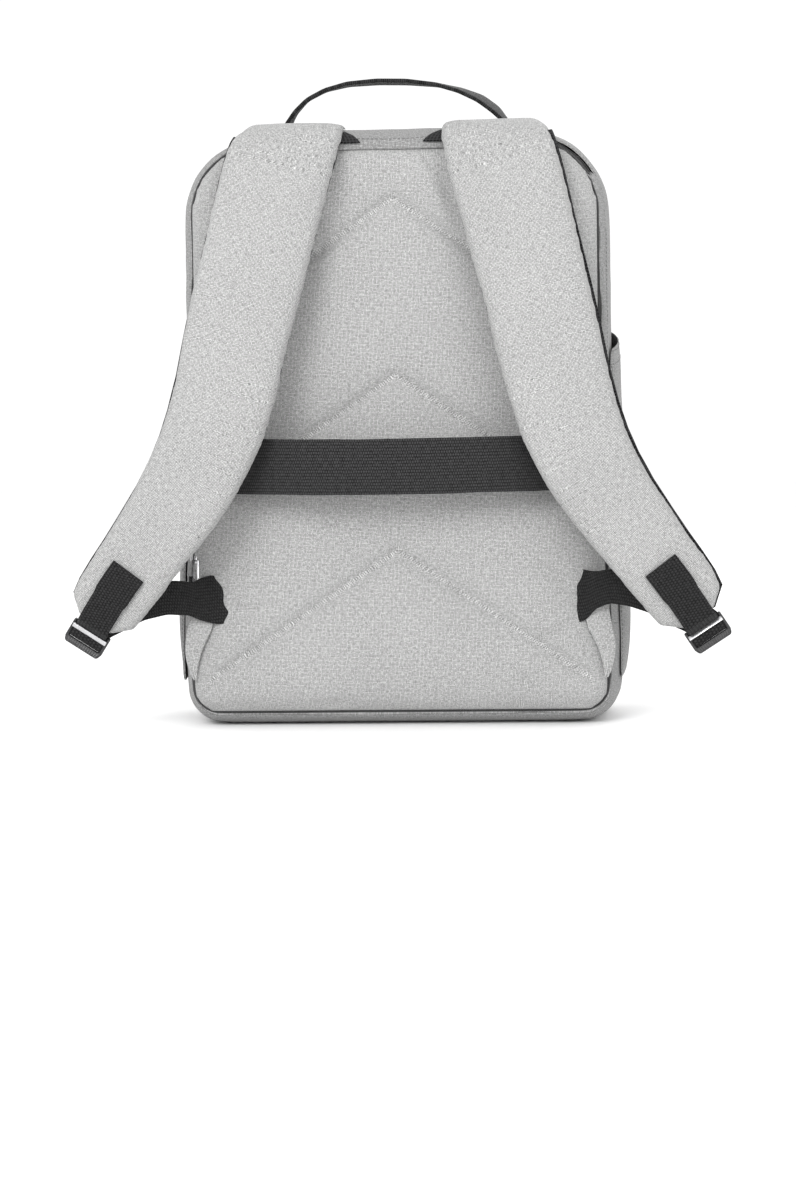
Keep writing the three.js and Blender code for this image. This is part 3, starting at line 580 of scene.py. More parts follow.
OUTLINE = bag_outline()
OUTLINE_TRACK = np.array([tuple(p) for p, _ in OUTLINE])
OUTLINE_LENGTH = np.concatenate([[0], np.cumsum(np.linalg.norm(np.diff(OUTLINE_TRACK, axis=0), axis=1))])
PERIMETER = OUTLINE_LENGTH[-1] + np.linalg.norm(OUTLINE_TRACK[0] - OUTLINE_TRACK[-1])
print("outline", len(OUTLINE), "points,", round(PERIMETER, 3), "m round")


def gusset_uv(obj):
    """Round the bag in one direction, and from the back to the front in the other."""
    flat = places(obj) * np.array([1, 0, 1])
    depth = places(obj)[:, 1]
    across = np.tile([0.0, 1.0, 0.0], (len(OUTLINE_TRACK), 1))
    _, along, _, _ = track_uv(flat, OUTLINE_TRACK, OUTLINE_LENGTH, across)
    return lay_uv(obj, np.column_stack([along, depth]), PERIMETER)


# %% [markdown]
# ## Gusset, front strip and pockets
# These are single layers of cloth around the bag. The frame's own shells are copied and subdivided,
# which rounds their cut edges as a turned hem is, and a slow noise lets the cloth wander by a
# millimetre or so, because nothing sewn is ever truly flat. The base stays flat, so that the bag
# stands on it.

# %% Cloth shells
def off_the_floor(obj, reach=14 * MM):
    """How freely each point may move: not at all on the flat base, and fully above it."""
    return np.clip((places(obj)[:, 2] - 2 * MM) / reach, 0, 1)


def cloth_shell(node, name, levels, waves):
    obj = copy_node(node, name)
    apply_modifier(obj, "SUBSURF", levels=levels, render_levels=levels)
    for seed, (depth, size) in enumerate(waves):
        ripple(obj, depth * MM, size * MM, 3 + 7 * seed, off_the_floor(obj))
    return obj


gusset = cloth_shell("gusset", "gusset_cloth", 2, [(1.1, 60), (0.45, 18)])
gusset_uv(gusset)
finish_piece(gusset, CLOTH_SHADED_COPY, "grey_weave", "gusset")
strip = cloth_shell("front_strip", "front_strip_cloth", 2, [(0.7, 60), (0.3, 18)])
gusset_uv(strip)
finish_piece(strip, CLOTH_SHADED_COPY, "grey_weave", "front_strip")
POCKET_SIDES, POCKET_FOOT = (-45.4 * MM, 33.2 * MM), 30 * MM


MOUTH_REACH, MOUTH_LEAN = 26 * MM, 2.4 * MM


def tuck_edges(obj, side):
    """The sides and the foot of a pocket are sewn down, and its slack mouth leans in to the gusset."""
    co = places(obj)
    near = np.minimum(np.minimum(co[:, 1] - POCKET_SIDES[0], POCKET_SIDES[1] - co[:, 1]), co[:, 2] - POCKET_FOOT)
    co[:, 0] -= side * 1.1 * MM * np.clip(1 - near / (5 * MM), 0, 1)
    mouth = np.clip((co[:, 2] - co[:, 2].max() + MOUTH_REACH) / MOUTH_REACH, 0, 1)
    co[:, 0] -= side * MOUTH_LEAN * mouth ** 2
    move_to(obj, co)


for word, side in (("left", -1), ("right", 1)):
    pocket = cloth_shell(f"side_pocket_{word}", f"side_pocket_{word}_cloth", 3, [(1.1, 60), (0.45, 18)])
    tuck_edges(pocket, side)
    co = places(pocket)
    lay_uv(pocket, np.column_stack([co[:, 1], co[:, 2]]))
    finish_piece(pocket, CLOTH_SHADED_COPY, "grey_weave", f"side_pocket_{word}")

# %% [markdown]
# ## The inner lining
# Cloth walls meet at seams, and a bag has a thin lining just inside them, so no light comes
# through where two pieces of cloth meet. Its near-black colour is painted shade: it makes the gaps
# at the seams read as the dark inside of the bag. It is one closed pouch: a flat circle is laid on the
# bag's outline, a little inside the cloth, and extruded from the back panel to the front one.

# %% Inner lining
POUCH_INSET, POUCH_BACK, POUCH_DEPTH = 9.5 * MM, -59.4 * MM, 120.6 * MM


def inner_lining():
    bpy.ops.object.select_all(action="DESELECT")
    bpy.ops.mesh.primitive_circle_add(vertices=len(OUTLINE), radius=0.1, fill_type="NGON")
    pouch = bpy.context.object
    pouch.name = "inner_lining"
    ring = [place - out * POUCH_INSET for place, out in OUTLINE]
    move_to(pouch, [(p.x, POUCH_BACK, p.z) for p in ring])
    push = {"value": (0, POUCH_DEPTH, 0)}
    in_edit(pouch, lambda: bpy.ops.mesh.extrude_region_move(TRANSFORM_OT_translate=push),
            lambda: bpy.ops.mesh.select_all(action="SELECT"),
            lambda: bpy.ops.mesh.normals_make_consistent(inside=False))
    co = places(pouch)
    lay_uv(pouch, np.column_stack([co[:, 0] + co[:, 1], co[:, 2]]))
    # near-black zip tape: painted shade for the gaps at the seams
    return finish_piece(pouch, TAPE_BLACK, "zip_tape")


inner_lining()

# %% [markdown]
# ## The path of a shoulder strap
# Both straps run over the top rim, stand off the back and turn outwards to their buckles. The table
# holds the right strap's underside, in millimetres, from its sewn top: a place, the direction across
# it, the direction out of it, half its width, how thick the pad is there, and how far the pad sits
# above the underside because the mesh lining lies between. The left strap is its mirror image.

# %% Strap table
STRAP_COLUMNS = ("place", "across", "out", "half", "thick", "floor")
STRAP_ROWS = [
    (71, -38.6, 415.3, -1, 0, 0, 0, -0.085, 0.996, 38, 5, 0),
    (71, -40.8, 415.2, -1, 0, 0, 0, -0.049, 0.999, 38, 5.6, 0),
    (71, -43.1, 415, -1, 0, 0, 0, -0.138, 0.99, 38, 6.1, 0),
    (71, -47.5, 414.1, -1, 0, 0, 0, -0.237, 0.971, 38, 6.6, 0),
    (71, -53.4, 412.5, -1, 0, 0, 0, -0.3, 0.954, 38, 7.1, 0),
    (71, -58, 410.8, -1, 0, 0, 0, -0.393, 0.92, 38, 7.6, 0.2),
    (71, -61.3, 409.2, -1, 0, 0, 0, -0.468, 0.884, 38, 8.2, 0.7),
    (71, -64.1, 407.6, -1, 0.007, 0.004, 0, -0.514, 0.858, 38, 8.7, 1.1),
    (70.9, -66.1, 406.4, -0.999, 0.034, 0.027, 0.003, -0.555, 0.832, 38, 9.2, 1.6),
    (70.9, -68.1, 404.9, -0.997, -0.055, -0.056, -0.005, -0.672, 0.741, 38, 9.7, 2),
    (71.9, -72.1, 400.7, -0.976, -0.116, -0.182, -0.035, -0.75, 0.661, 38, 10.4, 2.5),
    (73.9, -77.2, 394.2, -0.967, -0.084, -0.241, -0.059, -0.846, 0.531, 38, 11, 3),
    (76, -80.6, 386.8, -0.967, -0.049, -0.25, -0.019, -0.965, 0.26, 38, 11.5, 3.2),
    (78.3, -82, 378.2, -0.968, -0.039, -0.25, 0.007, -0.992, 0.126, 38, 11.8, 3.2),
    (80.9, -83.6, 368.2, -0.972, -0.028, -0.235, -0.015, -0.983, 0.182, 37.9, 12, 3.2),
    (84.2, -86.2, 354.4, -0.974, -0.024, -0.224, -0.017, -0.984, 0.178, 37.6, 12, 3.2),
    (87.8, -89, 339, -0.973, -0.021, -0.231, -0.021, -0.984, 0.179, 37.3, 12, 3.2),
    (93, -93.2, 317.9, -0.971, -0.018, -0.24, -0.029, -0.981, 0.192, 37, 12, 3.2),
    (99, -97.8, 294, -0.971, -0.014, -0.238, -0.027, -0.985, 0.168, 36.6, 12, 3.2),
    (105.3, -101.9, 267, -0.978, -0.008, -0.206, -0.018, -0.992, 0.127, 36.1, 12, 3.2),
    (111.8, -105.4, 236.7, -0.973, -0.004, -0.23, -0.019, -0.995, 0.096, 35.5, 12, 3.2),
    (119.6, -107.6, 210.3, -0.939, 0, -0.344, -0.018, -0.999, 0.05, 34.7, 11.9, 3.2),
    (127.7, -108.3, 191, -0.905, 0, -0.426, -0.005, -1, 0.011, 33.3, 11.7, 3.2),
    (137.2, -108.3, 172.8, -0.869, 0, -0.494, 0.001, -1, -0.002, 32, 11.4, 3.2),
    (149.8, -108, 153.3, -0.815, 0.008, -0.58, 0.005, -1, -0.022, 30.4, 11.2, 3.2),
    (163.8, -107.3, 134.3, -0.801, 0.017, -0.598, 0.009, -0.999, -0.042, 28.8, 10.9, 3.2),
    (175.3, -106.4, 118.9, -0.797, 0.024, -0.604, 0.02, -0.998, -0.066, 27.7, 10.6, 3.2),
    (185.4, -105.2, 105.7, -0.798, 0.028, -0.602, 0.024, -0.997, -0.079, 27.1, 10.4, 3.2),
    (193.6, -104.1, 94.3, -0.826, 0.031, -0.563, 0.019, -0.996, -0.082, 26.4, 10.1, 3.2),
    (199.4, -103.2, 85.6, -0.84, 0.034, -0.541, 0.017, -0.996, -0.088, 24.8, 9.9, 3.2),
    (205, -102.4, 77, -0.835, 0.038, -0.549, 0.013, -0.996, -0.089, 12.5, 9.6, 3.2),
]


def strap_track(side, parts=4):
    """The strap as arrays, with extra stations in between, in metres. side mirrors it."""
    rows = np.array(STRAP_ROWS, float)
    rank = np.linspace(0, len(rows) - 1, (len(rows) - 1) * parts + 1)
    fine = np.column_stack([np.interp(rank, np.arange(len(rows)), rows[:, k]) for k in range(rows.shape[1])])
    fine[:, [0, 3, 6]] *= side
    track = {"place": fine[:, 0:3] * MM, "across": fine[:, 3:6], "out": fine[:, 6:9]}
    for k, name in enumerate(STRAP_COLUMNS[3:]):
        track[name] = fine[:, 9 + k] * MM
    for name in ("across", "out"):
        track[name] /= np.linalg.norm(track[name], axis=1)[:, None]
    steps = np.linalg.norm(np.diff(track["place"], axis=0), axis=1)
    track["length"] = np.concatenate([[0], np.cumsum(steps)])
    return track


STRAPS = {"left": strap_track(-1), "right": strap_track(1)}
STRAP_LENGTH = STRAPS["right"]["length"][-1]
print("strap length", round(STRAP_LENGTH, 3), "m")


def strap_at(track, distance):
    """One station at a distance from the sewn top. Past the free end it goes straight on."""
    inside = min(distance, STRAP_LENGTH)
    one = {}
    for name in ("place", "across", "out"):
        one[name] = Vector([np.interp(inside, track["length"], track[name][:, k]) for k in range(3)])
    for name in ("half", "thick", "floor"):
        one[name] = float(np.interp(inside, track["length"], track[name]))
    one["down"] = Vector((track["place"][-1] - track["place"][-9]) if distance > STRAP_LENGTH - 12 * MM else (
        Vector([np.interp(inside + 4 * MM, track["length"], track["place"][:, k]) for k in range(3)])
        - Vector([np.interp(inside - 4 * MM, track["length"], track["place"][:, k]) for k in range(3)])))
    one["down"].normalize()
    one["place"] += one["down"] * (distance - inside)
    return one


# %% [markdown]
# ## Padding by pressure
# The back panel, the front panel and the shoulder straps are cloth sewn over foam. The way to get
# their plump, slightly uneven form is to do what the stuffing does: the frame's solid is remeshed
# into an even skin, made a little smaller, and blown up as cloth with a gentle pressure, while the
# parts that are sewn down are held. The movement is capped, so that the pad stays in its own space.

# %% Padded pieces
FRAMES = 20


def inflate(obj, pressure, cap, group_name):
    rest = places(obj)
    cloth = obj.modifiers.new("cloth", "CLOTH")
    cloth.settings.use_pressure = True
    cloth.settings.uniform_pressure_force = pressure
    cloth.settings.effector_weights.gravity = 0
    cloth.settings.vertex_group_mass = group_name
    cloth.settings.quality = 4
    cloth.point_cache.frame_start = 1
    cloth.point_cache.frame_end = FRAMES
    for number in range(1, FRAMES + 1):
        bpy.context.scene.frame_set(number)
    pick(obj)
    bpy.ops.object.modifier_apply(modifier=cloth.name)
    bpy.context.scene.frame_set(1)
    moved = places(obj) - rest
    far = np.linalg.norm(moved, axis=1)
    moved *= np.minimum(1, cap / np.maximum(far, 1e-9))[:, None]
    move_to(obj, rest + moved)
    print(f"{obj.name}: moved up to {far.max() * 1000:.1f} mm, capped at {cap * 1000:.0f}")


def padded_piece(node, name, voxel, held, before=None, shrink=1.2 * MM, pressure=4.0, cap=5 * MM):
    obj = copy_node(node, name)
    apply_modifier(obj, "REMESH", mode="VOXEL", voxel_size=voxel, adaptivity=0.0)
    apply_modifier(obj, "DISPLACE", strength=-shrink, mid_level=0.0)
    if before:
        before(obj)
    weights = held(places(obj))
    group = obj.vertex_groups.new(name="held")
    for step in range(1, 11):
        members = np.flatnonzero(np.round(weights * 10) == step)
        if len(members):
            group.add(members.tolist(), step / 10, "REPLACE")
    inflate(obj, pressure, cap, group.name)
    apply_modifier(obj, "SUBSURF", levels=1, render_levels=1)
    obj.vertex_groups.clear()
    return obj


# %% [markdown]
# ## The back panel
# This is the big pad against the wearer's back. Three chevrons are quilted into it, its edge rolls
# over to the seam, and near the base it is pinched in where the webbing is sewn on. The chevron
# stitching holds the cloth down while the foam pushes it up between, so the panel is held along
# those lines in the simulation, and the sharp sewn crease is pressed in afterwards.

# %% Back panel
CHEVRON_APEXES = (123 * MM, 244 * MM, 365 * MM)
CHEVRON_SLOPE = math.radians(34)
CHEVRON_REACH = (131 * MM, 112 * MM, 112 * MM)
FACE_Y = -72.5 * MM
CREASES = [
    {"start": (80, 41), "end": (93, 22), "depth": 2.2, "width": 3.5},
    {"start": (82, 17), "end": (88, 8), "depth": 1.6, "width": 3.0},
    {"start": (88, 10), "end": (112, 6), "depth": 1.4, "width": 2.6},
    {"start": (124, 94), "end": (96, 116), "depth": 2.0, "width": 6.0},
    {"start": (122, 72), "end": (98, 58), "depth": 1.6, "width": 5.0},
    {"start": (-122, 80), "end": (-92, 84), "depth": 1.8, "width": 5.0},
    {"start": (-122, 96), "end": (-98, 120), "depth": 1.6, "width": 6.0},
    {"start": (-122, 66), "end": (-102, 48), "depth": 1.6, "width": 5.0},
    {"start": (-70, 13), "end": (-30, 16), "depth": 1.2, "width": 4.0},
    {"start": (-33, 398), "end": (-40, 340), "depth": 1.8, "width": 7.0},
    {"start": (29, 398), "end": (47, 345), "depth": 2.4, "width": 6.5},
    {"start": (20, 398), "end": (27, 384), "depth": 1.2, "width": 3.0},
    {"start": (-8, 392), "end": (-2, 372), "depth": 0.9, "width": 5.0},
]


def chevron_distance(x, z):
    """How far points are from the nearest chevron leg."""
    best = np.full(len(x), 1.0)
    for apex, reach in zip(CHEVRON_APEXES, CHEVRON_REACH):
        off = np.abs(z - (apex - np.abs(x) * math.tan(CHEVRON_SLOPE))) * math.cos(CHEVRON_SLOPE)
        beyond = np.maximum(np.abs(x) - reach, 0)
        best = np.minimum(best, np.hypot(off, beyond))
    return best


def press_chevrons(obj, depth, width):
    co = places(obj)
    front = np.clip((-66 * MM - co[:, 1]) / (4 * MM), 0, 1)
    pressed = depth * np.exp(-(chevron_distance(co[:, 0], co[:, 2]) / width) ** 2)
    co[:, 1] += pressed * front
    move_to(obj, co)


def panel_held(co):
    sewn = np.clip((co[:, 1] + 64.5 * MM) / (2.5 * MM), 0, 1)
    quilted = np.exp(-(chevron_distance(co[:, 0], co[:, 2]) / (3.2 * MM)) ** 2) * (co[:, 1] < -66 * MM)
    return np.clip(np.maximum(sewn, np.where(quilted > 0.45, 1, 0)), 0, 1)


def press_creases(obj, creases, axis=1, sign=1):
    """Sharp little folds, each a line on the face with a depth and a width in millimetres."""
    co = places(obj)
    for row in creases:
        start, end = np.array(row["start"]) * MM, np.array(row["end"]) * MM
        line = end - start
        share = np.clip(((co[:, [0, 2]] - start) @ line) / (line @ line), 0, 1)
        off = co[:, [0, 2]] - (start + share[:, None] * line)
        far = np.hypot(off[:, 0], off[:, 1]) / (row["width"] * MM)
        fade = np.sin(np.pi * np.clip(share * 0.9 + 0.05, 0, 1))
        front = np.clip((-64 * MM - co[:, 1]) / (4 * MM), 0, 1)
        ridge = 0.45 * np.exp(-((far - 1.5) / 0.7) ** 2)
        co[:, axis] += sign * row["depth"] * MM * fade * front * (np.exp(-far ** 2) - ridge)
    move_to(obj, co)


def panel_uv(obj):
    """Flat on the face, and unrolled outwards over the rolled rim."""
    co = places(obj)
    behind = np.maximum(co[:, 1] - (FACE_Y + 1.5 * MM), 0)
    n = normals(obj)[:, [0, 2]]
    size = np.linalg.norm(n, axis=1)
    out = n / np.maximum(size, 1e-6)[:, None] * np.clip(size, 0, 1)[:, None]
    return lay_uv(obj, co[:, [0, 2]] + out * behind[:, None])


panel = padded_piece("back_panel", "back_panel_pad", 3.6 * MM, panel_held,
                     before=lambda obj: press_chevrons(obj, 2.0 * MM, 6 * MM), cap=4.5 * MM)
press_chevrons(panel, 2.4 * MM, 3.0 * MM)
press_creases(panel, CREASES)
ripple(panel, 0.9 * MM, 55 * MM, 11, np.clip((-64 * MM - places(panel)[:, 1]) / (4 * MM), 0, 1))
panel_uv(panel)
finish_piece(panel, CLOTH_GREY, "grey_weave", "back_panel")

# %% [markdown]
# ## The front panel
# The far side of the bag is a plain padded wall. It gets the same treatment with a lower pressure.

# %% Front panel
def front_held(co):
    return np.where((co[:, 1] < 66 * MM), 1.0, 0.0)


def fit_in_box(obj, node):
    """A pad is made from a smaller shape, so it is spread again until it meets the cloth around it."""
    low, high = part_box(node)
    co = places(obj)
    for axis in (0, 2):
        start, end = co[:, axis].min(), co[:, axis].max()
        co[:, axis] = low[axis] + (co[:, axis] - start) * (high[axis] - low[axis]) / (end - start)
    move_to(obj, co)


front = padded_piece("front_panel", "front_panel_pad", 4.0 * MM, front_held, pressure=2.5, cap=3 * MM)
fit_in_box(front, "front_panel")
ripple(front, 1.2 * MM, 70 * MM, 21, np.clip((places(front)[:, 1] - 64 * MM) / (4 * MM), 0, 1))
co = places(front)
lay_uv(front, np.column_stack([co[:, 0], co[:, 2]]))
finish_piece(front, CLOTH_GREY, "grey_weave", "front_panel")

# %% [markdown]
# ## Shoulder straps
# Each strap is a foam pad under grey cloth, sewn flat over the top rim. The lining side and the
# sewn top are held, and so is the place under the webbing tab, which is stitched down to the pad.
# Its UV map runs along the strap, so the yarns turn outwards with it as cut cloth does.

# %% Strap pads
TAB_LENGTH = 46 * MM


def strap_coordinates(co, track):
    across, along, nearest, gap = track_uv(co, track["place"], track["length"], track["across"])
    height = (gap * track["out"][nearest]).sum(1)
    return across, along, height, nearest


def strap_held(co, track):
    across, along, height, nearest = strap_coordinates(co, track)
    under = height < track["floor"][nearest] + 2.2 * MM
    sewn = along < 26 * MM
    tab = (along > STRAP_LENGTH - TAB_LENGTH - 3 * MM) & (np.abs(across) < 14 * MM)
    return np.where(under | sewn | tab, 1.0, 0.0)


def strap_uv(obj, track):
    across, along, height, nearest = strap_coordinates(places(obj), track)
    top = track["floor"][nearest] + track["thick"][nearest]
    edge = np.clip((np.abs(across) - track["half"][nearest] + 4 * MM) / (4 * MM), 0, 1)
    return lay_uv(obj, np.column_stack([across + np.sign(across) * edge * np.maximum(top - height, 0), along]))


def round_top_corner(obj, track):
    """Over the rim the strap's outer corner droops, where the bag's own corner falls away."""
    across, along, _, nearest = strap_coordinates(places(obj), track)
    outer = np.clip((-across - track["half"][nearest] + 15 * MM) / (15 * MM), 0, 1)
    reach = np.clip(1 - np.maximum(along - 30 * MM, 0) / (25 * MM), 0, 1)
    co = places(obj)
    co[:, 2] -= 7 * MM * outer ** 2 * reach
    move_to(obj, co)


for word, track in STRAPS.items():
    strap = padded_piece(f"shoulder_strap_{word}", f"shoulder_strap_{word}_pad", 2.6 * MM,
                         lambda co: strap_held(co, track), shrink=0.6 * MM, cap=3.2 * MM)
    round_top_corner(strap, track)
    ripple(strap, 0.9 * MM, 42 * MM, 31 if word == "left" else 37)
    ripple(strap, 0.25 * MM, 12 * MM, 41)
    strap_uv(strap, track)
    finish_piece(strap, CLOTH_GREY, "grey_weave", f"shoulder_strap_{word}")

# %% [markdown]
# ## Laying out a webbing
# A webbing is a flat woven ribbon that keeps its width, so it is drawn as a grid whose rows are laid
# on a list of stations, each with a place, a direction across and a direction out. Its UV map keeps
# real metres along and across, which the ribs of the weave follow. Solidify then gives it its
# thickness and a bevel rounds the woven edge.

# %% Ribbon
def station(place, across, out, half=12.5 * MM):
    return {"place": Vector(place), "across": Vector(across).normalized(),
            "out": Vector(out).normalized(), "half": half}


def smooth_stations(stations, count, passes=2):
    """The same path with evenly spaced stations, rounded off where it turned sharply."""
    place = np.array([tuple(s["place"]) for s in stations])
    length = np.concatenate([[0], np.cumsum(np.linalg.norm(np.diff(place, axis=0), axis=1))])
    even = np.linspace(0, length[-1], count)
    columns = {}
    for name in ("place", "across", "out"):
        rows = np.array([tuple(s[name]) for s in stations])
        rows = np.column_stack([np.interp(even, length, rows[:, k]) for k in range(3)])
        for _ in range(passes):
            rows[1:-1] = (rows[:-2] + 2 * rows[1:-1] + rows[2:]) / 4
        columns[name] = rows
    half = np.interp(even, length, [s["half"] for s in stations])
    return [station(columns["place"][i], columns["across"][i], columns["out"][i], half[i]) for i in range(count)]


def ribbon(name, stations, thickness, columns=6, crown=0.0, bevel=0.35 * MM):
    rows = len(stations)
    bpy.ops.object.select_all(action="DESELECT")
    bpy.ops.mesh.primitive_grid_add(x_subdivisions=columns, y_subdivisions=rows - 1, size=2)
    obj = bpy.context.object
    obj.name = name
    grid = places(obj)
    row = np.round((grid[:, 1] + 1) / 2 * (rows - 1)).astype(int)
    share = grid[:, 0]
    place = np.array([tuple(s["place"]) for s in stations])
    across = np.array([tuple(s["across"]) for s in stations])
    out = np.array([tuple(s["out"]) for s in stations])
    half = np.array([s["half"] for s in stations])
    length = np.concatenate([[0], np.cumsum(np.linalg.norm(np.diff(place, axis=0), axis=1))])
    lift = crown * (1 - share ** 2)
    move_to(obj, place[row] + across[row] * (half[row] * share)[:, None] + out[row] * lift[:, None])
    lay_uv(obj, np.column_stack([share * half[row], length[row]]))
    if np.dot(normals(obj).mean(0), out.mean(0)) < 0:
        in_edit(obj, bpy.ops.mesh.flip_normals)
    apply_modifier(obj, "SOLIDIFY", thickness=thickness, offset=0, use_even_offset=True)
    apply_modifier(obj, "BEVEL", width=bevel, segments=2, limit_method="ANGLE", angle_limit=math.radians(50))
    return obj


# %% [markdown]
# ## Stitches
# Thread shows as a row of short raised dashes. One stitch is modelled as a small pointed bead, then
# an Array repeats it to the length of a guide curve and a Curve modifier lays the row along it. The
# guide is removed afterwards. The same way makes the coils of the zips.

# %% Rows of stitches and coils
def guide_curve(points):
    curve = bpy.data.curves.new("guide", "CURVE")
    curve.dimensions = "3D"
    spline = curve.splines.new("POLY")
    spline.points.add(len(points) - 1)
    for target, point in zip(spline.points, points):
        target.co = (*point, 1)
    guide = bpy.data.objects.new("guide", curve)
    bpy.context.scene.collection.objects.link(guide)
    return guide


def bead(name, size, segments=6, rings=4):
    bpy.ops.object.select_all(action="DESELECT")
    bpy.ops.mesh.primitive_uv_sphere_add(segments=segments, ring_count=rings, radius=1)
    obj = bpy.context.object
    obj.name = name
    bpy.ops.transform.resize(value=size)
    bpy.ops.object.transform_apply(location=True, rotation=True, scale=True)
    return obj


def bead_row(name, points, size, pitch):
    """Beads along a line of points. size is half the bead's length along the line, and its radii."""
    guide = guide_curve(points)
    obj = bead(name, size)
    apply_modifier(obj, "ARRAY", fit_type="FIT_CURVE", curve=guide, use_relative_offset=False,
                   use_constant_offset=True, constant_offset_displace=(pitch, 0, 0))
    apply_modifier(obj, "CURVE", object=guide, deform_axis="POS_X")
    bpy.data.objects.remove(guide)
    return obj


def join(name, objects):
    pick(objects[0])
    for obj in objects[1:]:
        obj.select_set(True)
    if len(objects) > 1:
        bpy.ops.object.join()
    objects[0].name = name
    return objects[0]


STITCH = (1.15 * MM, 0.3 * MM, 0.3 * MM)
STITCH_PITCH = 3.1 * MM


def seat_on(obj, points, direction, lift):
    """Each point moved along a direction until it meets the piece, then lifted off it a little."""
    direction = Vector(direction).normalized()
    seated = []
    for point in points:
        start = Vector(point) - direction * 0.05
        hit, place, _, _ = obj.ray_cast(start, direction)
        if hit:
            seated.append(place - direction * lift)
    return seated


def between(a, b, step=3 * MM):
    count = max(2, int((Vector(b) - Vector(a)).length / step))
    return [Vector(a).lerp(Vector(b), i / count) for i in range(count + 1)]


# %% [markdown]
# ## Chevron stitching
# Each leg of a chevron is a row of lockstitch that sits at the bottom of its crease. The rows are
# seated on the finished pad by casting a ray from the wearer's side.

# %% Chevron stitching
def chevron_rows():
    rows = []
    for apex, reach in zip(CHEVRON_APEXES, CHEVRON_REACH):
        for side in (-1, 1):
            end = (side * reach, 0, apex - reach * math.tan(CHEVRON_SLOPE))
            line = seat_on(panel, between((side * 1.5 * MM, 0, apex - 1 * MM), end), (0, 1, 0), 0.05 * MM)
            rows.append(bead_row("chevron_row", line, STITCH, STITCH_PITCH))
    return join("chevron_stitches", rows)


bpy.context.view_layer.update()
finish_piece(chevron_rows(), GREY_THREAD_AND_PIT_SHADE, "grey_weave")

# %% [markdown]
# ## The top rim and the yoke
# Between the straps a strip of cloth wraps over the top edge. Its lower hem is stitched across the
# panel, and beside each strap it is cut back in a small triangle where the black lining shows. The
# rim profile lists the places that the cloth passes, from the gusset to the panel's face.

# %% Yoke
RIM_PROFILE = [(-24, 414.9), (-31, 414.5), (-38.4, 413.4), (-43.3, 412.8), (-49.5, 411.4), (-55.6, 409.4),
               (-59.5, 407.8), (-62.8, 406.0), (-66.6, 403.0), (-70.0, 398.6), (-71.6, 394.0), (-72.9, 388.0)]


def rim_track(lift, first=0, last=len(RIM_PROFILE) - 1):
    """Places and outward directions over the top rim, lifted off it, in metres."""
    rows = [Vector((0, y * MM, z * MM)) for y, z in RIM_PROFILE]
    made = []
    for i in range(first, last + 1):
        along = (rows[min(i + 1, len(rows) - 1)] - rows[max(i - 1, 0)]).normalized()
        out = Vector((0, along.z, -along.y))
        made.append((rows[i] + out * lift, out))
    return made


def yoke_stations(half, lift, first, last):
    return [station(place, (1, 0, 0), out, half) for place, out in rim_track(lift, first, last)]


def rim_point(x, rank, lift):
    rows = rim_track(lift)
    low = min(int(rank), len(rows) - 2)
    place = rows[low][0].lerp(rows[low + 1][0], rank - low)
    return Vector((x, place.y, place.z)), rows[low][1].lerp(rows[low + 1][1], rank - low).normalized()


YOKE_HALF = 93 * MM
# the hem is turned in, so it ends a little past the last row and under the panel's face
HEM_RANK, HEM_SINK = 8.8, -1.6 * MM
hem_place, hem_out = rim_point(0, HEM_RANK, HEM_SINK)
YOKE_ROWS = yoke_stations(YOKE_HALF, 1.2 * MM, 1, 8) + [station(hem_place, (1, 0, 0), hem_out, YOKE_HALF)]
yoke = ribbon("yoke_cloth", smooth_stations(YOKE_ROWS, 24), 1.6 * MM, columns=60)
ripple(yoke, 0.5 * MM, 26 * MM, 51)
finish_piece(yoke, CLOTH_SHADED_COPY, "grey_weave", "yoke")

YOKE_SEAM = [rim_point(x * MM, 7.55 + 0.12 * math.cos(x / 9), 2.05 * MM)[0] for x in range(-29, 31, 2)]
finish_piece(bead_row("yoke_stitches", YOKE_SEAM, STITCH, STITCH_PITCH), GREY_THREAD_AND_PIT_SHADE, "grey_weave")

# %% [markdown]
# ## Black corners beside the yoke
# Where each strap leaves the rim its inner corner lifts, and a small triangle of the black mesh
# under it can be seen. Each one is a little patch of mesh cloth, cut as a triangle from a grid: the
# rows of the grid narrow towards the strap's root.

# %% Strap root patches
def root_patch(name, side):
    rows = []
    for i in range(9):
        share = i / 8
        rank = 5.2 + 3.2 * share
        inner = 33.0 - 11.5 * share
        outer = 37.5
        place, out = rim_point(0, rank, 2.9 * MM)
        center = side * (inner + outer) / 2 * MM
        rows.append(station((center, place.y, place.z), (side, 0, 0), out,
                            (outer - inner) / 2 * MM))
    patch = ribbon(name, smooth_stations(rows, 14, 1), 0.9 * MM, columns=8, bevel=0.2 * MM)
    return finish_piece(patch, MESH_BLACK, "black_mesh")


root_patch("root_patch_left", -1)
root_patch("root_patch_right", 1)

# %% [markdown]
# ## Strap linings
# Black spacer mesh backs each strap. It is sewn on a little towards the outer edge, where it shows as
# the thin black line that runs down each strap in the photograph, plainest on the right one. Across
# a strap the table's direction points to the bag's middle, so the shift goes against it.

# %% Strap linings
LINING_THICKNESS = 2.6 * MM
OUTER_LIP = {"left": 0.1 * MM, "right": 1.0 * MM}
INNER_LIP = -1.6 * MM


def lining(name, word, node):
    track, outer = STRAPS[word], OUTER_LIP[word]
    rows = []
    start = int(np.argmax(track["floor"] > 2.4 * MM))
    for i in range(start, len(track["length"])):
        place = Vector(track["place"][i]) - Vector(track["across"][i]) * (outer - INNER_LIP) / 2
        out = Vector(track["out"][i])
        rows.append(station(place + out * LINING_THICKNESS / 2, track["across"][i], out,
                            track["half"][i] + (outer + INNER_LIP) / 2))
    obj = ribbon(name, rows, LINING_THICKNESS, columns=10, bevel=0.8 * MM)
    return finish_piece(obj, MESH_BLACK, "black_mesh", node)


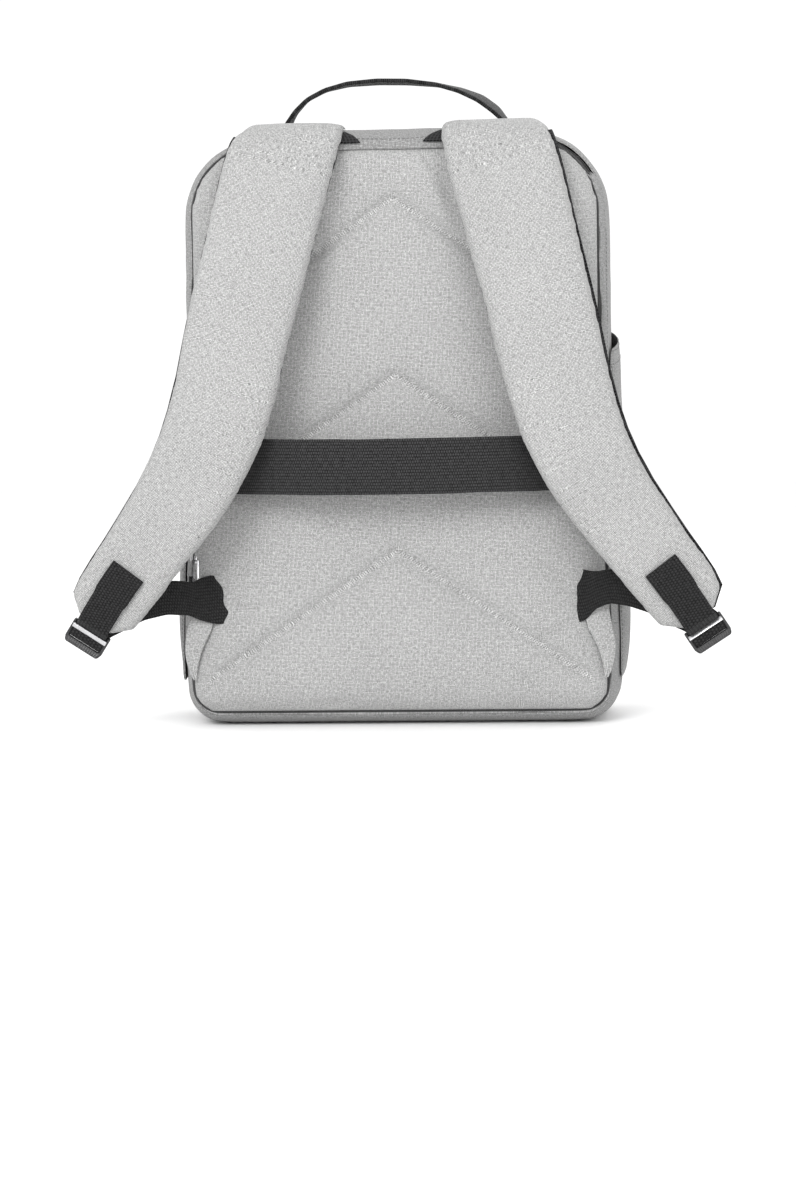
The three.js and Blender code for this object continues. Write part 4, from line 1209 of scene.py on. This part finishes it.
for word in ("left", "right"):
    lining(f"strap_lining_{word}_mesh", word, f"strap_lining_{word}")

# %% [markdown]
# ## The back band
# A broad band of close black webbing crosses the back and bows away from it. Its ends run under the
# straps to the side seams. Both long edges are woven a little thicker, which a slight crown and the
# bevel suggest.

# %% Back band
BAND_HEIGHT = 183 * MM
BAND_PATH = [(147.5, -66.9), (144.5, -70.6), (136, -73.8), (122, -80), (106, -88.6), (88, -98.0), (68, -105.4),
             (44, -109.0), (22, -110.0), (0, -110.3)]


def band_stations():
    right = [Vector((x * MM, y * MM, BAND_HEIGHT)) for x, y in BAND_PATH]
    path = right + [Vector((-p.x, p.y, p.z)) for p in right[-2::-1]]
    made = []
    for i, p in enumerate(path):
        along = (path[min(i + 1, len(path) - 1)] - path[max(i - 1, 0)]).normalized()
        sag = -1.6 * MM * math.cos(math.pi * p.x / 0.3) ** 2
        made.append(station(p + Vector((0, 0, sag)), (0, 0, 1), along.cross(Vector((0, 0, 1))), 18.8 * MM))
    return made


band = ribbon("back_band_webbing", smooth_stations(band_stations(), 90), 1.7 * MM, columns=14, crown=-0.5 * MM)
ripple(band, 0.35 * MM, 30 * MM, 61)
finish_piece(band, BAND_BLACK, "black_webbing", "back_band")

# %% [markdown]
# ## The haul handle
# One length of webbing, folded double, rises from two sewn feet. It has been pulled to one side in
# the photograph: the crest lies left of the middle, and the right leg is turned so that its face
# shows. The stations carry that lean, and the legs are given a twist of their own.

# %% Haul handle
HANDLE_PATH = [
    {"x": -93, "up": 1.6, "twist": 0}, {"x": -84, "up": 1.6, "twist": 0}, {"x": -79.5, "up": 3.5, "twist": 0},
    {"x": -76.5, "up": 8.5, "twist": 2}, {"x": -71.5, "up": 17, "twist": 6}, {"x": -63, "up": 25.5, "twist": 9},
    {"x": -50, "up": 32, "twist": 8}, {"x": -34, "up": 35.8, "twist": 5}, {"x": -13, "up": 37, "twist": 3},
    {"x": 8, "up": 36.4, "twist": 3}, {"x": 28, "up": 34, "twist": 6}, {"x": 45, "up": 29.8, "twist": 11},
    {"x": 59, "up": 23.8, "twist": 15}, {"x": 69.5, "up": 16, "twist": 15}, {"x": 76.5, "up": 8, "twist": 9},
    {"x": 79.5, "up": 3.5, "twist": 2}, {"x": 84, "up": 1.6, "twist": 0}, {"x": 93, "up": 1.6, "twist": 0},
]
HANDLE_Y = -16.5 * MM


def handle_stations():
    path = [Vector((row["x"] * MM, HANDLE_Y, 0.4145 + row["up"] * MM)) for row in HANDLE_PATH]
    made = []
    for i, p in enumerate(path):
        along = (path[min(i + 1, len(path) - 1)] - path[max(i - 1, 0)]).normalized()
        turn = Matrix.Rotation(math.radians(HANDLE_PATH[i]["twist"]), 3, along)
        made.append(station(p, turn @ Vector((0, 1, 0)), turn @ Vector((0, 1, 0)).cross(along) * -1, 12.5 * MM))
    return made


handle = ribbon("haul_handle_webbing", smooth_stations(handle_stations(), 90, 1), 2.7 * MM, columns=10,
                crown=0.5 * MM, bevel=0.7 * MM)
finish_piece(handle, HANDLE_BLACK, "black_webbing", "haul_handle")

# %% [markdown]
# ## Webbing tabs at the straps' ends
# Each strap ends in a webbing tab, 25 mm wide. Its upper end is turned under and stitched as a box on
# the pad, one cross row marks where the turned layer stops, and the lower end goes round the upper
# bar of the buckle. On the bag a second, narrower layer underneath gives the step that shows on its
# edge; here the tab itself narrows towards the buckle.

# %% Strap tabs
def strap_point(f, across, out):
    return f["place"] + f["across"] * across + f["out"] * out


def tab_top(f):
    return f["floor"] + f["thick"] + 0.6 * MM


BAR_CENTER = 4.6 * MM
WRAP_RADIUS = 2.2 * MM


def tab(name, word, node):
    track = STRAPS[word]
    rows = []
    for back in np.linspace(46, 0, 10):
        f = strap_at(track, STRAP_LENGTH - back * MM)
        half = 12.5 if back > 24 else 11.6
        rows.append(station(strap_point(f, 0, tab_top(f) + 0.9 * MM), f["across"], f["out"], half * MM))
    end = strap_at(track, STRAP_LENGTH)
    bar = end["place"] + end["down"] * BAR_CENTER + end["out"] * 4.6 * MM
    for angle in (75, 40, 0, -45, -90, -130):
        spoke = end["out"] * math.sin(math.radians(angle)) + end["down"] * math.cos(math.radians(angle))
        rows.append(station(bar + spoke * WRAP_RADIUS, end["across"], spoke, 11.6 * MM))
    obj = ribbon(name, smooth_stations(rows, 60, 1), 1.7 * MM, columns=8)
    return finish_piece(obj, WEB_BLACK, "black_webbing", node)


def tab_stitches(name, word):
    track = STRAPS[word]
    rows = []
    def line(points):
        surface = [strap_point(f, a, tab_top(f) + 1.9 * MM) for f, a in points]
        rows.append(bead_row("tab_row", surface, (0.9 * MM, 0.26 * MM, 0.26 * MM), 2.3 * MM))
    def place(back):
        return strap_at(track, STRAP_LENGTH - back * MM)
    for back in (42.5, 38.0, 20.5):
        line([(place(back), a * MM) for a in np.linspace(-10.6, 10.6, 8)])
    for a in (-10.8, 10.8):
        line([(place(back), a * MM) for back in np.linspace(42.5, 38.0, 4)])
    return finish_piece(join(name, rows), BLACK_THREAD, "black_webbing")


for word in ("left", "right"):
    tab(f"strap_tab_{word}_webbing", word, f"strap_tab_{word}")
    tab_stitches(f"tab_stitches_{word}", word)

# %% [markdown]
# ## Ladder-lock buckles
# A ladder lock is one small moulding: two side rails joined by bars. The strap's tab goes round the
# first bar, whose broad sloping face catches the light, the lower webbing passes under the middle
# bar, and the last bar is the grip that it folds back over. Each part is a bevelled block. They are
# joined and fused by a fine voxel remesh, which leaves the small soft radii of a moulding.

# %% Buckles
BUCKLE_PARTS = [
    # places and half sizes along the strap, across it and out of it, a tilt and a rounding
    {"at": (-1.4, -13.2, 1.0), "size": (7.4, 1.1, 1.9), "tilt": 4, "edge": 0.9},
    {"at": (-1.4, 13.2, 1.0), "size": (7.4, 1.1, 1.9), "tilt": 4, "edge": 0.9},
    {"at": (-7.0, 0, 1.2), "size": (1.3, 13.2, 1.0), "tilt": 20, "edge": 0.6},
    {"at": (-0.6, 0, 0.2), "size": (1.3, 13.2, 0.9), "tilt": 0, "edge": 0.7},
    {"at": (6.4, 0, 0.9), "size": (2.5, 14.0, 1.5), "tilt": -14, "edge": 1.1},
]
BUCKLE_MIDDLE = 12.0 * MM
BUCKLE_SEAT = 3.6 * MM
GRIP_RIBS = 15


def block(name, size, edge):
    bpy.ops.object.select_all(action="DESELECT")
    bpy.ops.mesh.primitive_cube_add(size=2)
    obj = bpy.context.object
    obj.name = name
    bpy.ops.transform.resize(value=tuple(s * MM for s in size))
    bpy.ops.object.transform_apply(location=True, rotation=True, scale=True)
    apply_modifier(obj, "BEVEL", width=edge * MM, segments=3, limit_method="ANGLE")
    return obj


def tilted(co, degrees):
    """Turned about the direction across, so that the end nearer the strap rises."""
    c, s = math.cos(math.radians(degrees)), math.sin(math.radians(degrees))
    return np.column_stack([co[:, 0] * c + co[:, 2] * s, co[:, 1], co[:, 2] * c - co[:, 0] * s])


def buckle_blank():
    parts = []
    for row in BUCKLE_PARTS:
        part = block("buckle_part", row["size"], row["edge"])
        move_to(part, tilted(places(part), row["tilt"]) + np.array(row["at"]) * MM)
        parts.append(part)
    for i in range(GRIP_RIBS):
        rib = block("buckle_rib", (2.2, 0.45, 0.4), 0.2)
        shift = np.array([6.4, (i - (GRIP_RIBS - 1) / 2) * 1.75, 2.45])
        move_to(rib, tilted(places(rib), -14) + shift * MM)
        parts.append(rib)
    blank = join("buckle_blank", parts)
    apply_modifier(blank, "REMESH", mode="VOXEL", voxel_size=0.4 * MM, adaptivity=0.0)
    co = places(blank)
    over = np.clip((co[:, 0] - 4.8 * MM) / (3.6 * MM), 0, 1)
    co[:, 1] *= 1 - 0.09 * over ** 2
    move_to(blank, co)
    apply_modifier(blank, "SMOOTH", factor=0.5, iterations=3)
    return blank


def place_buckle(blank, word):
    end = strap_at(STRAPS[word], STRAP_LENGTH)
    obj = bpy.data.objects.new(f"buckle_{word}_moulding", blank.data.copy())
    bpy.context.scene.collection.objects.link(obj)
    across = end["out"].cross(end["down"])
    turn = np.array([tuple(end["down"]), tuple(across), tuple(end["out"])])
    shift = np.array([BUCKLE_MIDDLE, 0, BUCKLE_SEAT])
    move_to(obj, (places(obj) + shift) @ turn + np.array(tuple(end["place"])))
    return finish_piece(obj, PLASTIC, "black_plastic", f"buckle_{word}")


blank = buckle_blank()
for word in ("left", "right"):
    place_buckle(blank, word)
bpy.data.objects.remove(blank)

# %% [markdown]
# ## What fills a buckle
# A slim bar of bright nickel lies across the top of each buckle, where the strap's tab goes round. It is
# partly a painted highlight: its bright metal stands in for the light that the sloping top bar catches.
# On the left its face is turned to the viewer, on the right only its edge is seen. Below it the webbing
# comes up through the frame, passes over the middle bar and goes down again before the grip.

# %% Bars and loops
# tilted so that the left bar turns its bright face, the painted highlight, to the viewer, and the right one only
# its edge
BAR_TILT = {"left": 26, "right": -38}
BAR_SEAT = np.array([7.6, 0, 7.2]) * MM
# places along the buckle and out of it, in millimetres
LOOP_PATH = [(4.5, 1.6), (7.0, 2.4), (8.3, 4.2), (9.2, 5.6), (11.0, 6.1), (13.2, 5.9), (14.8, 4.8), (15.4, 2.6)]


def buckle_turn(word):
    end = strap_at(STRAPS[word], STRAP_LENGTH)
    turn = np.array([tuple(end["down"]), tuple(end["out"].cross(end["down"])), tuple(end["out"])])
    return end, turn


def buckle_bar_and_highlight(word):
    bar = block("buckle_bar_and_highlight", (1.75, 13.2, 0.45), 0.3)
    end, turn = buckle_turn(word)
    move_to(bar, (tilted(places(bar), BAR_TILT[word]) + BAR_SEAT) @ turn + np.array(tuple(end["place"])))
    bar.name = f"buckle_{word}_bar"
    return finish_piece(bar, NICKEL, "silver_metal")


def web_loop(word):
    end, _ = buckle_turn(word)
    rows = []
    for along, up in LOOP_PATH:
        place = strap_point(end, 0, up * MM) + end["down"] * along * MM
        rows.append(station(place, end["across"], end["out"], 12.1 * MM))
    rows = smooth_stations(rows, 30, 2)
    for i, one in enumerate(rows):
        step = rows[min(i + 1, 29)]["place"] - rows[max(i - 1, 0)]["place"]
        one["out"] = step.cross(one["across"]).normalized()
        if one["out"].dot(end["out"] - end["down"] * 0.2) < 0:
            one["out"] = -one["out"]
    loop = ribbon(f"web_loop_{word}", rows, 1.6 * MM, columns=8)
    return finish_piece(loop, WEB_BLACK, "black_webbing")


for word in ("left", "right"):
    buckle_bar_and_highlight(word)
    web_loop(word)

# %% [markdown]
# ## Lower webbings
# From each buckle a length of the same webbing runs back to the bag. It comes up between the bars,
# sags into a curve behind the strap, and is sewn into the stitched corner where the back panel is
# pinched. The path is a smooth curve through a table of places for each side, given for the right
# side and mirrored, with the direction across at each. On the bag its lower end is folded on the left
# and stands in a loop on the right; here only the two tables differ.

# %% Lower webbings
WEB_END = [
    {"at": (197.0, -97.8, 79.5), "across": (0.72, 0.00, 0.65), "half": 12.4},
    {"at": (208.0, -98.6, 73.5), "across": (0.82, 0.00, 0.56), "half": 12.4},
    {"at": (211.6, -100.6, 68.8), "across": (0.835, -0.02, 0.549), "half": 12.2},
]
WEB_PATHS = {
    "right": [
        {"at": (120.0, -66.6, 90.0), "across": (0.10, 0.00, 1.0), "half": 18.5},
        {"at": (127.0, -67.4, 90.0), "across": (0.10, 0.00, 1.0), "half": 18.5},
        {"at": (131.5, -70.5, 90.5), "across": (0.08, -0.08, 1.0), "half": 17.0},
        {"at": (137.5, -76.0, 94.5), "across": (0.08, -0.20, 1.0), "half": 13.6},
        {"at": (148.0, -83.0, 98.0), "across": (0.12, -0.20, 1.0), "half": 12.4},
        {"at": (162.0, -89.0, 96.0), "across": (0.28, -0.12, 0.95), "half": 12.4},
        {"at": (181.0, -94.5, 89.5), "across": (0.52, -0.05, 0.80), "half": 12.4},
    ],
    "left": [
        {"at": (117.0, -66.6, 90.0), "across": (0.34, 0.00, 0.95), "half": 18.0},
        {"at": (126.0, -67.4, 90.0), "across": (0.34, 0.00, 0.95), "half": 18.0},
        {"at": (132.0, -70.0, 89.5), "across": (0.30, -0.05, 0.95), "half": 17.0},
        {"at": (139.0, -75.5, 89.0), "across": (0.24, -0.18, 0.97), "half": 14.5},
        {"at": (148.0, -82.0, 92.5), "across": (0.20, -0.20, 1.0), "half": 12.6},
        {"at": (162.0, -89.0, 93.0), "across": (0.28, -0.12, 0.95), "half": 12.4},
        {"at": (181.0, -94.5, 88.5), "across": (0.50, -0.05, 0.80), "half": 12.4},
    ],
}


def path_stations(rows, side, count=80):
    made = []
    for row in rows:
        (x, y, z), (ax, ay, az) = row["at"], row["across"]
        made.append(station((side * x * MM, y * MM, z * MM), (side * ax, ay, az), (0, -1, 0), row["half"] * MM))
    made = smooth_stations(made, count, 8)
    for i, one in enumerate(made):
        along = (made[min(i + 1, count - 1)]["place"] - made[max(i - 1, 0)]["place"]).normalized()
        out = one["across"].cross(along).normalized()
        one["out"] = -out if out.y > 0 else out
    return made


for word, side in (("left", -1), ("right", 1)):
    web = ribbon(f"lower_webbing_{word}_strap", path_stations(WEB_PATHS[word] + WEB_END, side), 1.7 * MM,
                 columns=8, crown=0.4 * MM)
    ripple(web, 0.5 * MM, 16 * MM, 71)
    finish_piece(web, WEB_BLACK, "black_webbing", f"lower_webbing_{word}")

# %% [markdown]
# ## Stitched corners
# A doubled corner of the grey cloth covers the end of each lower webbing. It is a small upright
# patch that follows the side seam, so its columns run from the seam to the panel's pinched edge.
# Short rows of stitches hold it above and below the webbing.

# %% Stitched corners
CORNER_LOW, CORNER_HIGH = 34 * MM, 94 * MM
CORNER_TAPER, CORNER_WIDTH, CORNER_TUCK = 44 * MM, 16.2 * MM, 0.6 * MM
PINCH_HEIGHT, PINCH_SPAN = 80 * MM, 28 * MM
RIM_INSET, RIM_PINCH = 11.7 * MM, 15.3 * MM


def panel_edge(z):
    """Where the panel's rolled rim turns in, from the outline and the pinch."""
    return half_width(z) - RIM_INSET - RIM_PINCH * math.exp(-((z - PINCH_HEIGHT) / PINCH_SPAN) ** 2)


def corner_patch(name, side, node):
    rows = []
    for z in np.linspace(CORNER_LOW, CORNER_HIGH, 20):
        open_share = min(max((z - CORNER_LOW) / CORNER_TAPER, 0), 1)
        outer = panel_edge(z) + 0.2 * MM + CORNER_WIDTH * math.sin(math.pi / 2 * open_share)
        inner = panel_edge(z) - CORNER_TUCK
        bulge = 0.8 * MM * math.sin(math.pi * (z - CORNER_LOW) / (CORNER_HIGH - CORNER_LOW))
        rows.append(station((side * (outer + inner) / 2, -67.6 * MM - bulge, z), (side, 0, 0), (0, -1, 0),
                            (outer - inner) / 2))
    patch = ribbon(name, rows, 1.8 * MM, columns=14, crown=0.8 * MM)
    ripple(patch, 0.6 * MM, 12 * MM, 81)
    return finish_piece(patch, CLOTH_GREY, "grey_weave", node)


def corner_stitches(name, patch, side, rows):
    made = []
    for start, end in rows:
        line = between((side * start[0] * MM, 0, start[1] * MM), (side * end[0] * MM, 0, end[1] * MM), 2 * MM)
        made.append(bead_row("corner_row", seat_on(patch, line, (0, 1, 0), 0.1 * MM), STITCH, STITCH_PITCH))
    return finish_piece(join(name, made), GREY_THREAD_AND_PIT_SHADE, "grey_weave")


for word, side in (("left", -1), ("right", 1)):
    patch = corner_patch(f"anchor_corner_{word}_cloth", side, f"anchor_corner_{word}")
    edge = [(panel_edge(z * MM) / MM + 10.0, z) for z in (58, 68, 78, 90)]
    crossings = [((134, 60), (142, 66)), ((134, 92), (142, 89))]
    corner_stitches(f"anchor_stitches_{word}", patch, side, list(zip(edge, edge[1:])) + crossings)
# %% [markdown]
# ## Zips
# A nylon coil zip is two woven tapes with a row of coil teeth between them. The zip beside the back
# panel is a hidden one: a lip of the gusset's cloth covers most of its tape and leaves a narrow dark
# gap against the panel's rim. The main zip lies open to view, farther round the side. The tapes start
# from the frame's bands and get the same slow waves as the gusset, so that they stay seated in it.

# %% Zip tapes and coils
def around_bag(low_z, y):
    """Places along the outline above a height, with their outward directions."""
    made = []
    for place, out in OUTLINE:
        made.append((Vector((place.x, y, place.z)), out, place.z > low_z))
    start = next(i for i in range(len(made)) if made[i][2] and not made[i - 1][2])
    ordered = made[start:] + made[:start]
    return [(place, out) for place, out, inside in ordered if inside]


def seat_round(obj, low_z, y, lift):
    """Points seated on a band of the bag's side, by rays from outside it."""
    seated = []
    for place, out in around_bag(low_z, y):
        hit, point, _, _ = obj.ray_cast(place + out * 0.03, -out, distance=0.06)
        seated.append((point + out * lift, out) if hit else None)
    return seated


def zip_tape_piece(node, name):
    obj = cloth_shell(node, name, 2, [(1.1, 60), (0.45, 18)])
    gusset_uv(obj)
    return finish_piece(obj, TAPE_BLACK, "zip_tape", node)


def zip_coil(name, tape, low_z, y, half):
    rows = []
    for shift in (-half, half):
        points = [seat[0] for seat in seat_round(tape, low_z, y + shift, 0.35 * MM) if seat]
        rows.append(bead_row("coil_row", points, (0.42 * MM, 1.25 * MM, 0.6 * MM), 1.15 * MM))
    return finish_piece(join(name, rows), COIL, "zip_tape")


laptop_tape = zip_tape_piece("laptop_zip", "laptop_zip_tape")
main_tape = zip_tape_piece("main_zip", "main_zip_tape")
zip_coil("laptop_zip_coil", laptop_tape, 100 * MM, -57.6 * MM, 0.75 * MM)
zip_coil("main_zip_coil", main_tape, 63 * MM, 38.15 * MM, 1.0 * MM)

# %% [markdown]
# ## The lip over the hidden zip
# The lip is a folded strip of the grey cloth. Its outer side runs into the gusset and its free edge
# wanders a little along the gap, because it is held only by the stitches beside it.

# %% Zip lip
LIP_INNER_Y, LIP_OUTER_Y = -59.8 * MM, -55.4 * MM


def zip_lip():
    inner = seat_round(laptop_tape, 99 * MM, LIP_INNER_Y, 1.0 * MM)
    outer = seat_round(laptop_tape, 99 * MM, LIP_OUTER_Y, 1.0 * MM)
    rows = []
    for near, far in zip(inner, outer):
        if not near or not far:
            continue
        a, b = near[0], far[0]
        across = (b - a).normalized()
        wander = 0.5 * MM * noise.noise(a / 0.03)
        a, b = a + across * wander, b + across * 2.2 * MM
        along = Vector((-near[1].z, 0, near[1].x))
        out = across.cross(along)
        out = out if out.dot(near[1]) > 0 else -out
        rows.append(station((a + b) / 2, across, out, (b - a).length / 2))
    lip = ribbon("zip_lip_cloth", rows, 1.1 * MM, columns=6, crown=0.4 * MM)
    ripple(lip, 0.35 * MM, 14 * MM, 91)
    gusset_uv(lip)
    return finish_piece(lip, CLOTH_SHADED_COPY, "grey_weave")


zip_lip()

# %% [markdown]
# ## Zip pulls
# Each slider has a small nickel body that rides on the coil, and a long open pull with two slim bars.
# The pull starts as a plane with an inset, whose middle is deleted. It is then given its thickness
# and a bevel. The slider's body is a bevelled block that narrows at one end.

# %% Sliders and pulls
def open_pull(name, width, length, thickness):
    bpy.ops.object.select_all(action="DESELECT")
    bpy.ops.mesh.primitive_plane_add(size=1)
    obj = bpy.context.object
    obj.name = name
    bpy.ops.transform.resize(value=(width, length, 1))
    bpy.ops.object.transform_apply(location=True, rotation=True, scale=True)
    in_edit(obj, lambda: bpy.ops.mesh.bevel(offset=1.2 * MM, segments=3, affect="VERTICES"),
            lambda: bpy.ops.mesh.inset(thickness=1.35 * MM), lambda: bpy.ops.mesh.delete(type="FACE"))
    if not obj.data.polygons:
        raise RuntimeError("the pull lost its frame")
    apply_modifier(obj, "SOLIDIFY", thickness=thickness, offset=0)
    apply_modifier(obj, "BEVEL", width=0.35 * MM, segments=2, limit_method="ANGLE")
    return obj


def laid(obj, place, width_way, long_way):
    """Moves a piece so that its X, Y and Z follow the given directions."""
    x, y = Vector(width_way).normalized(), Vector(long_way).normalized()
    turn = np.array([tuple(x), tuple(y), tuple(x.cross(y))])
    move_to(obj, places(obj) @ turn + np.array(tuple(place)))
    return obj


def zip_pull(node, name, width_way, outward):
    low, high = (Vector(v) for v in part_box(node))
    center = (low + high) / 2
    pull = laid(open_pull("pull_frame", 4.6 * MM, 22 * MM, 1.3 * MM), center, width_way, (0, 0, 1))
    head = center + Vector((0, 0, 11 * MM))
    bridge = block("pull_bridge", (1.0, 2.6, 1.4), 0.5)
    laid(bridge, head - Vector(outward) * 0.9 * MM, width_way, (0, 0, 1))
    return finish_piece(join(name, [pull, bridge]), NICKEL, "silver_metal", node)


def zip_slider(name, tape, z, y, side):
    _, place, _, _ = tape.ray_cast(Vector((side * 0.2, y, z)), Vector((-side, 0, 0)))
    body = block("slider_body", (2.9, 4.2, 1.1), 0.7)
    co = places(body)
    co[:, 0] *= 1 - 0.28 * (co[:, 1] < 0) * np.clip(-co[:, 1] / (4.2 * MM), 0, 1)
    move_to(body, co)
    laid(body, place + Vector((side, 0, 0)) * 0.9 * MM, (0, 1, 0), (0, 0, 1))
    return finish_piece(body, NICKEL, "silver_metal")


zip_pull("laptop_zip_pull", "laptop_pull_metal", (1, 0, 0), (0, -1, 0))
zip_pull("main_zip_pull", "main_pull_metal", (0, 1, 0), (1, 0, 0))
zip_slider("laptop_zip_slider", laptop_tape, 121 * MM, -57.6 * MM, -1)
zip_slider("main_zip_slider", main_tape, 328 * MM, 38.15 * MM, 1)

# %% [markdown]
# ## Seams and hems
# Rows of lockstitch run along the pockets' top hems and sides, round the gusset beside the zips, and
# across the gusset where its lower band is joined. They are what makes cut cloth read as sewn. Each
# row is seated on the finished cloth by rays from the side.

# %% Seams and hems
def side_row(obj, side, points, lift=0.05 * MM):
    line = [Vector((side * 0.2, y * MM, z * MM)) for y, z in points]
    return seat_line(obj, line, Vector((-side, 0, 0)), lift)


def seat_line(obj, line, direction, lift):
    seated = []
    for point in line:
        hit, place, _, _ = obj.ray_cast(point, direction)
        if hit:
            seated.append(place - direction * lift)
    return seated


def straight(a, b, count=40):
    return [(a[0] + (b[0] - a[0]) * i / count, a[1] + (b[1] - a[1]) * i / count) for i in range(count + 1)]


def stitched(name, rows):
    made = [bead_row("seam_row", row, STITCH, STITCH_PITCH) for row in rows if len(row) > 2]
    return finish_piece(join(name, made), GREY_THREAD_AND_PIT_SHADE, "grey_weave")


for word, side in (("left", -1), ("right", 1)):
    pocket = bpy.data.objects[f"side_pocket_{word}_cloth"]
    hem = [side_row(pocket, side, straight((-44, 258.5 - drop), (31, 272.5 - drop))) for drop in (0, 9)]
    edges = [side_row(pocket, side, straight((-43.6, 34), (-43.6, 250))),
             side_row(pocket, side, straight((31, 34), (31, 262)))]
    stitched(f"pocket_stitches_{word}", hem + edges)
    belt = [side_row(gusset, side, straight((-54, z), (-46.5, z))) for z in (70.0,)]
    rise = [side_row(gusset, side, straight((-48.5, 280), (-48.5, 345)))]
    stitched(f"gusset_stitches_{word}", belt + rise)

rim_rows = [[seat[0] for seat in seat_round(gusset, 100 * MM, y * MM, 0.05 * MM) if seat] for y in (-50.4, 31.6)]
stitched("zip_stitches", rim_rows)

# %% [markdown]
# ## Stitches on the handle
# The handle's feet are held by boxes of black stitches.

# %% Stitches on the webbing
def on_handle(x, y):
    _, place, _, _ = handle.ray_cast(Vector((x * MM, y * MM, 0.5)), Vector((0, 0, -1)))
    return place + Vector((0, 0, 0.05 * MM))


rows = []
for side in (-1, 1):
    for x in (81.5, 91.5):
        rows.append([on_handle(side * x, y) for y in np.linspace(-26, -7, 8)])
    for y in (-26, -7):
        rows.append([on_handle(side * x, y) for x in np.linspace(81.5, 91.5, 5)])
made = [bead_row("handle_row", row, (0.9 * MM, 0.26 * MM, 0.26 * MM), 2.3 * MM) for row in rows]
finish_piece(join("handle_stitches", made), BLACK_THREAD, "black_webbing")
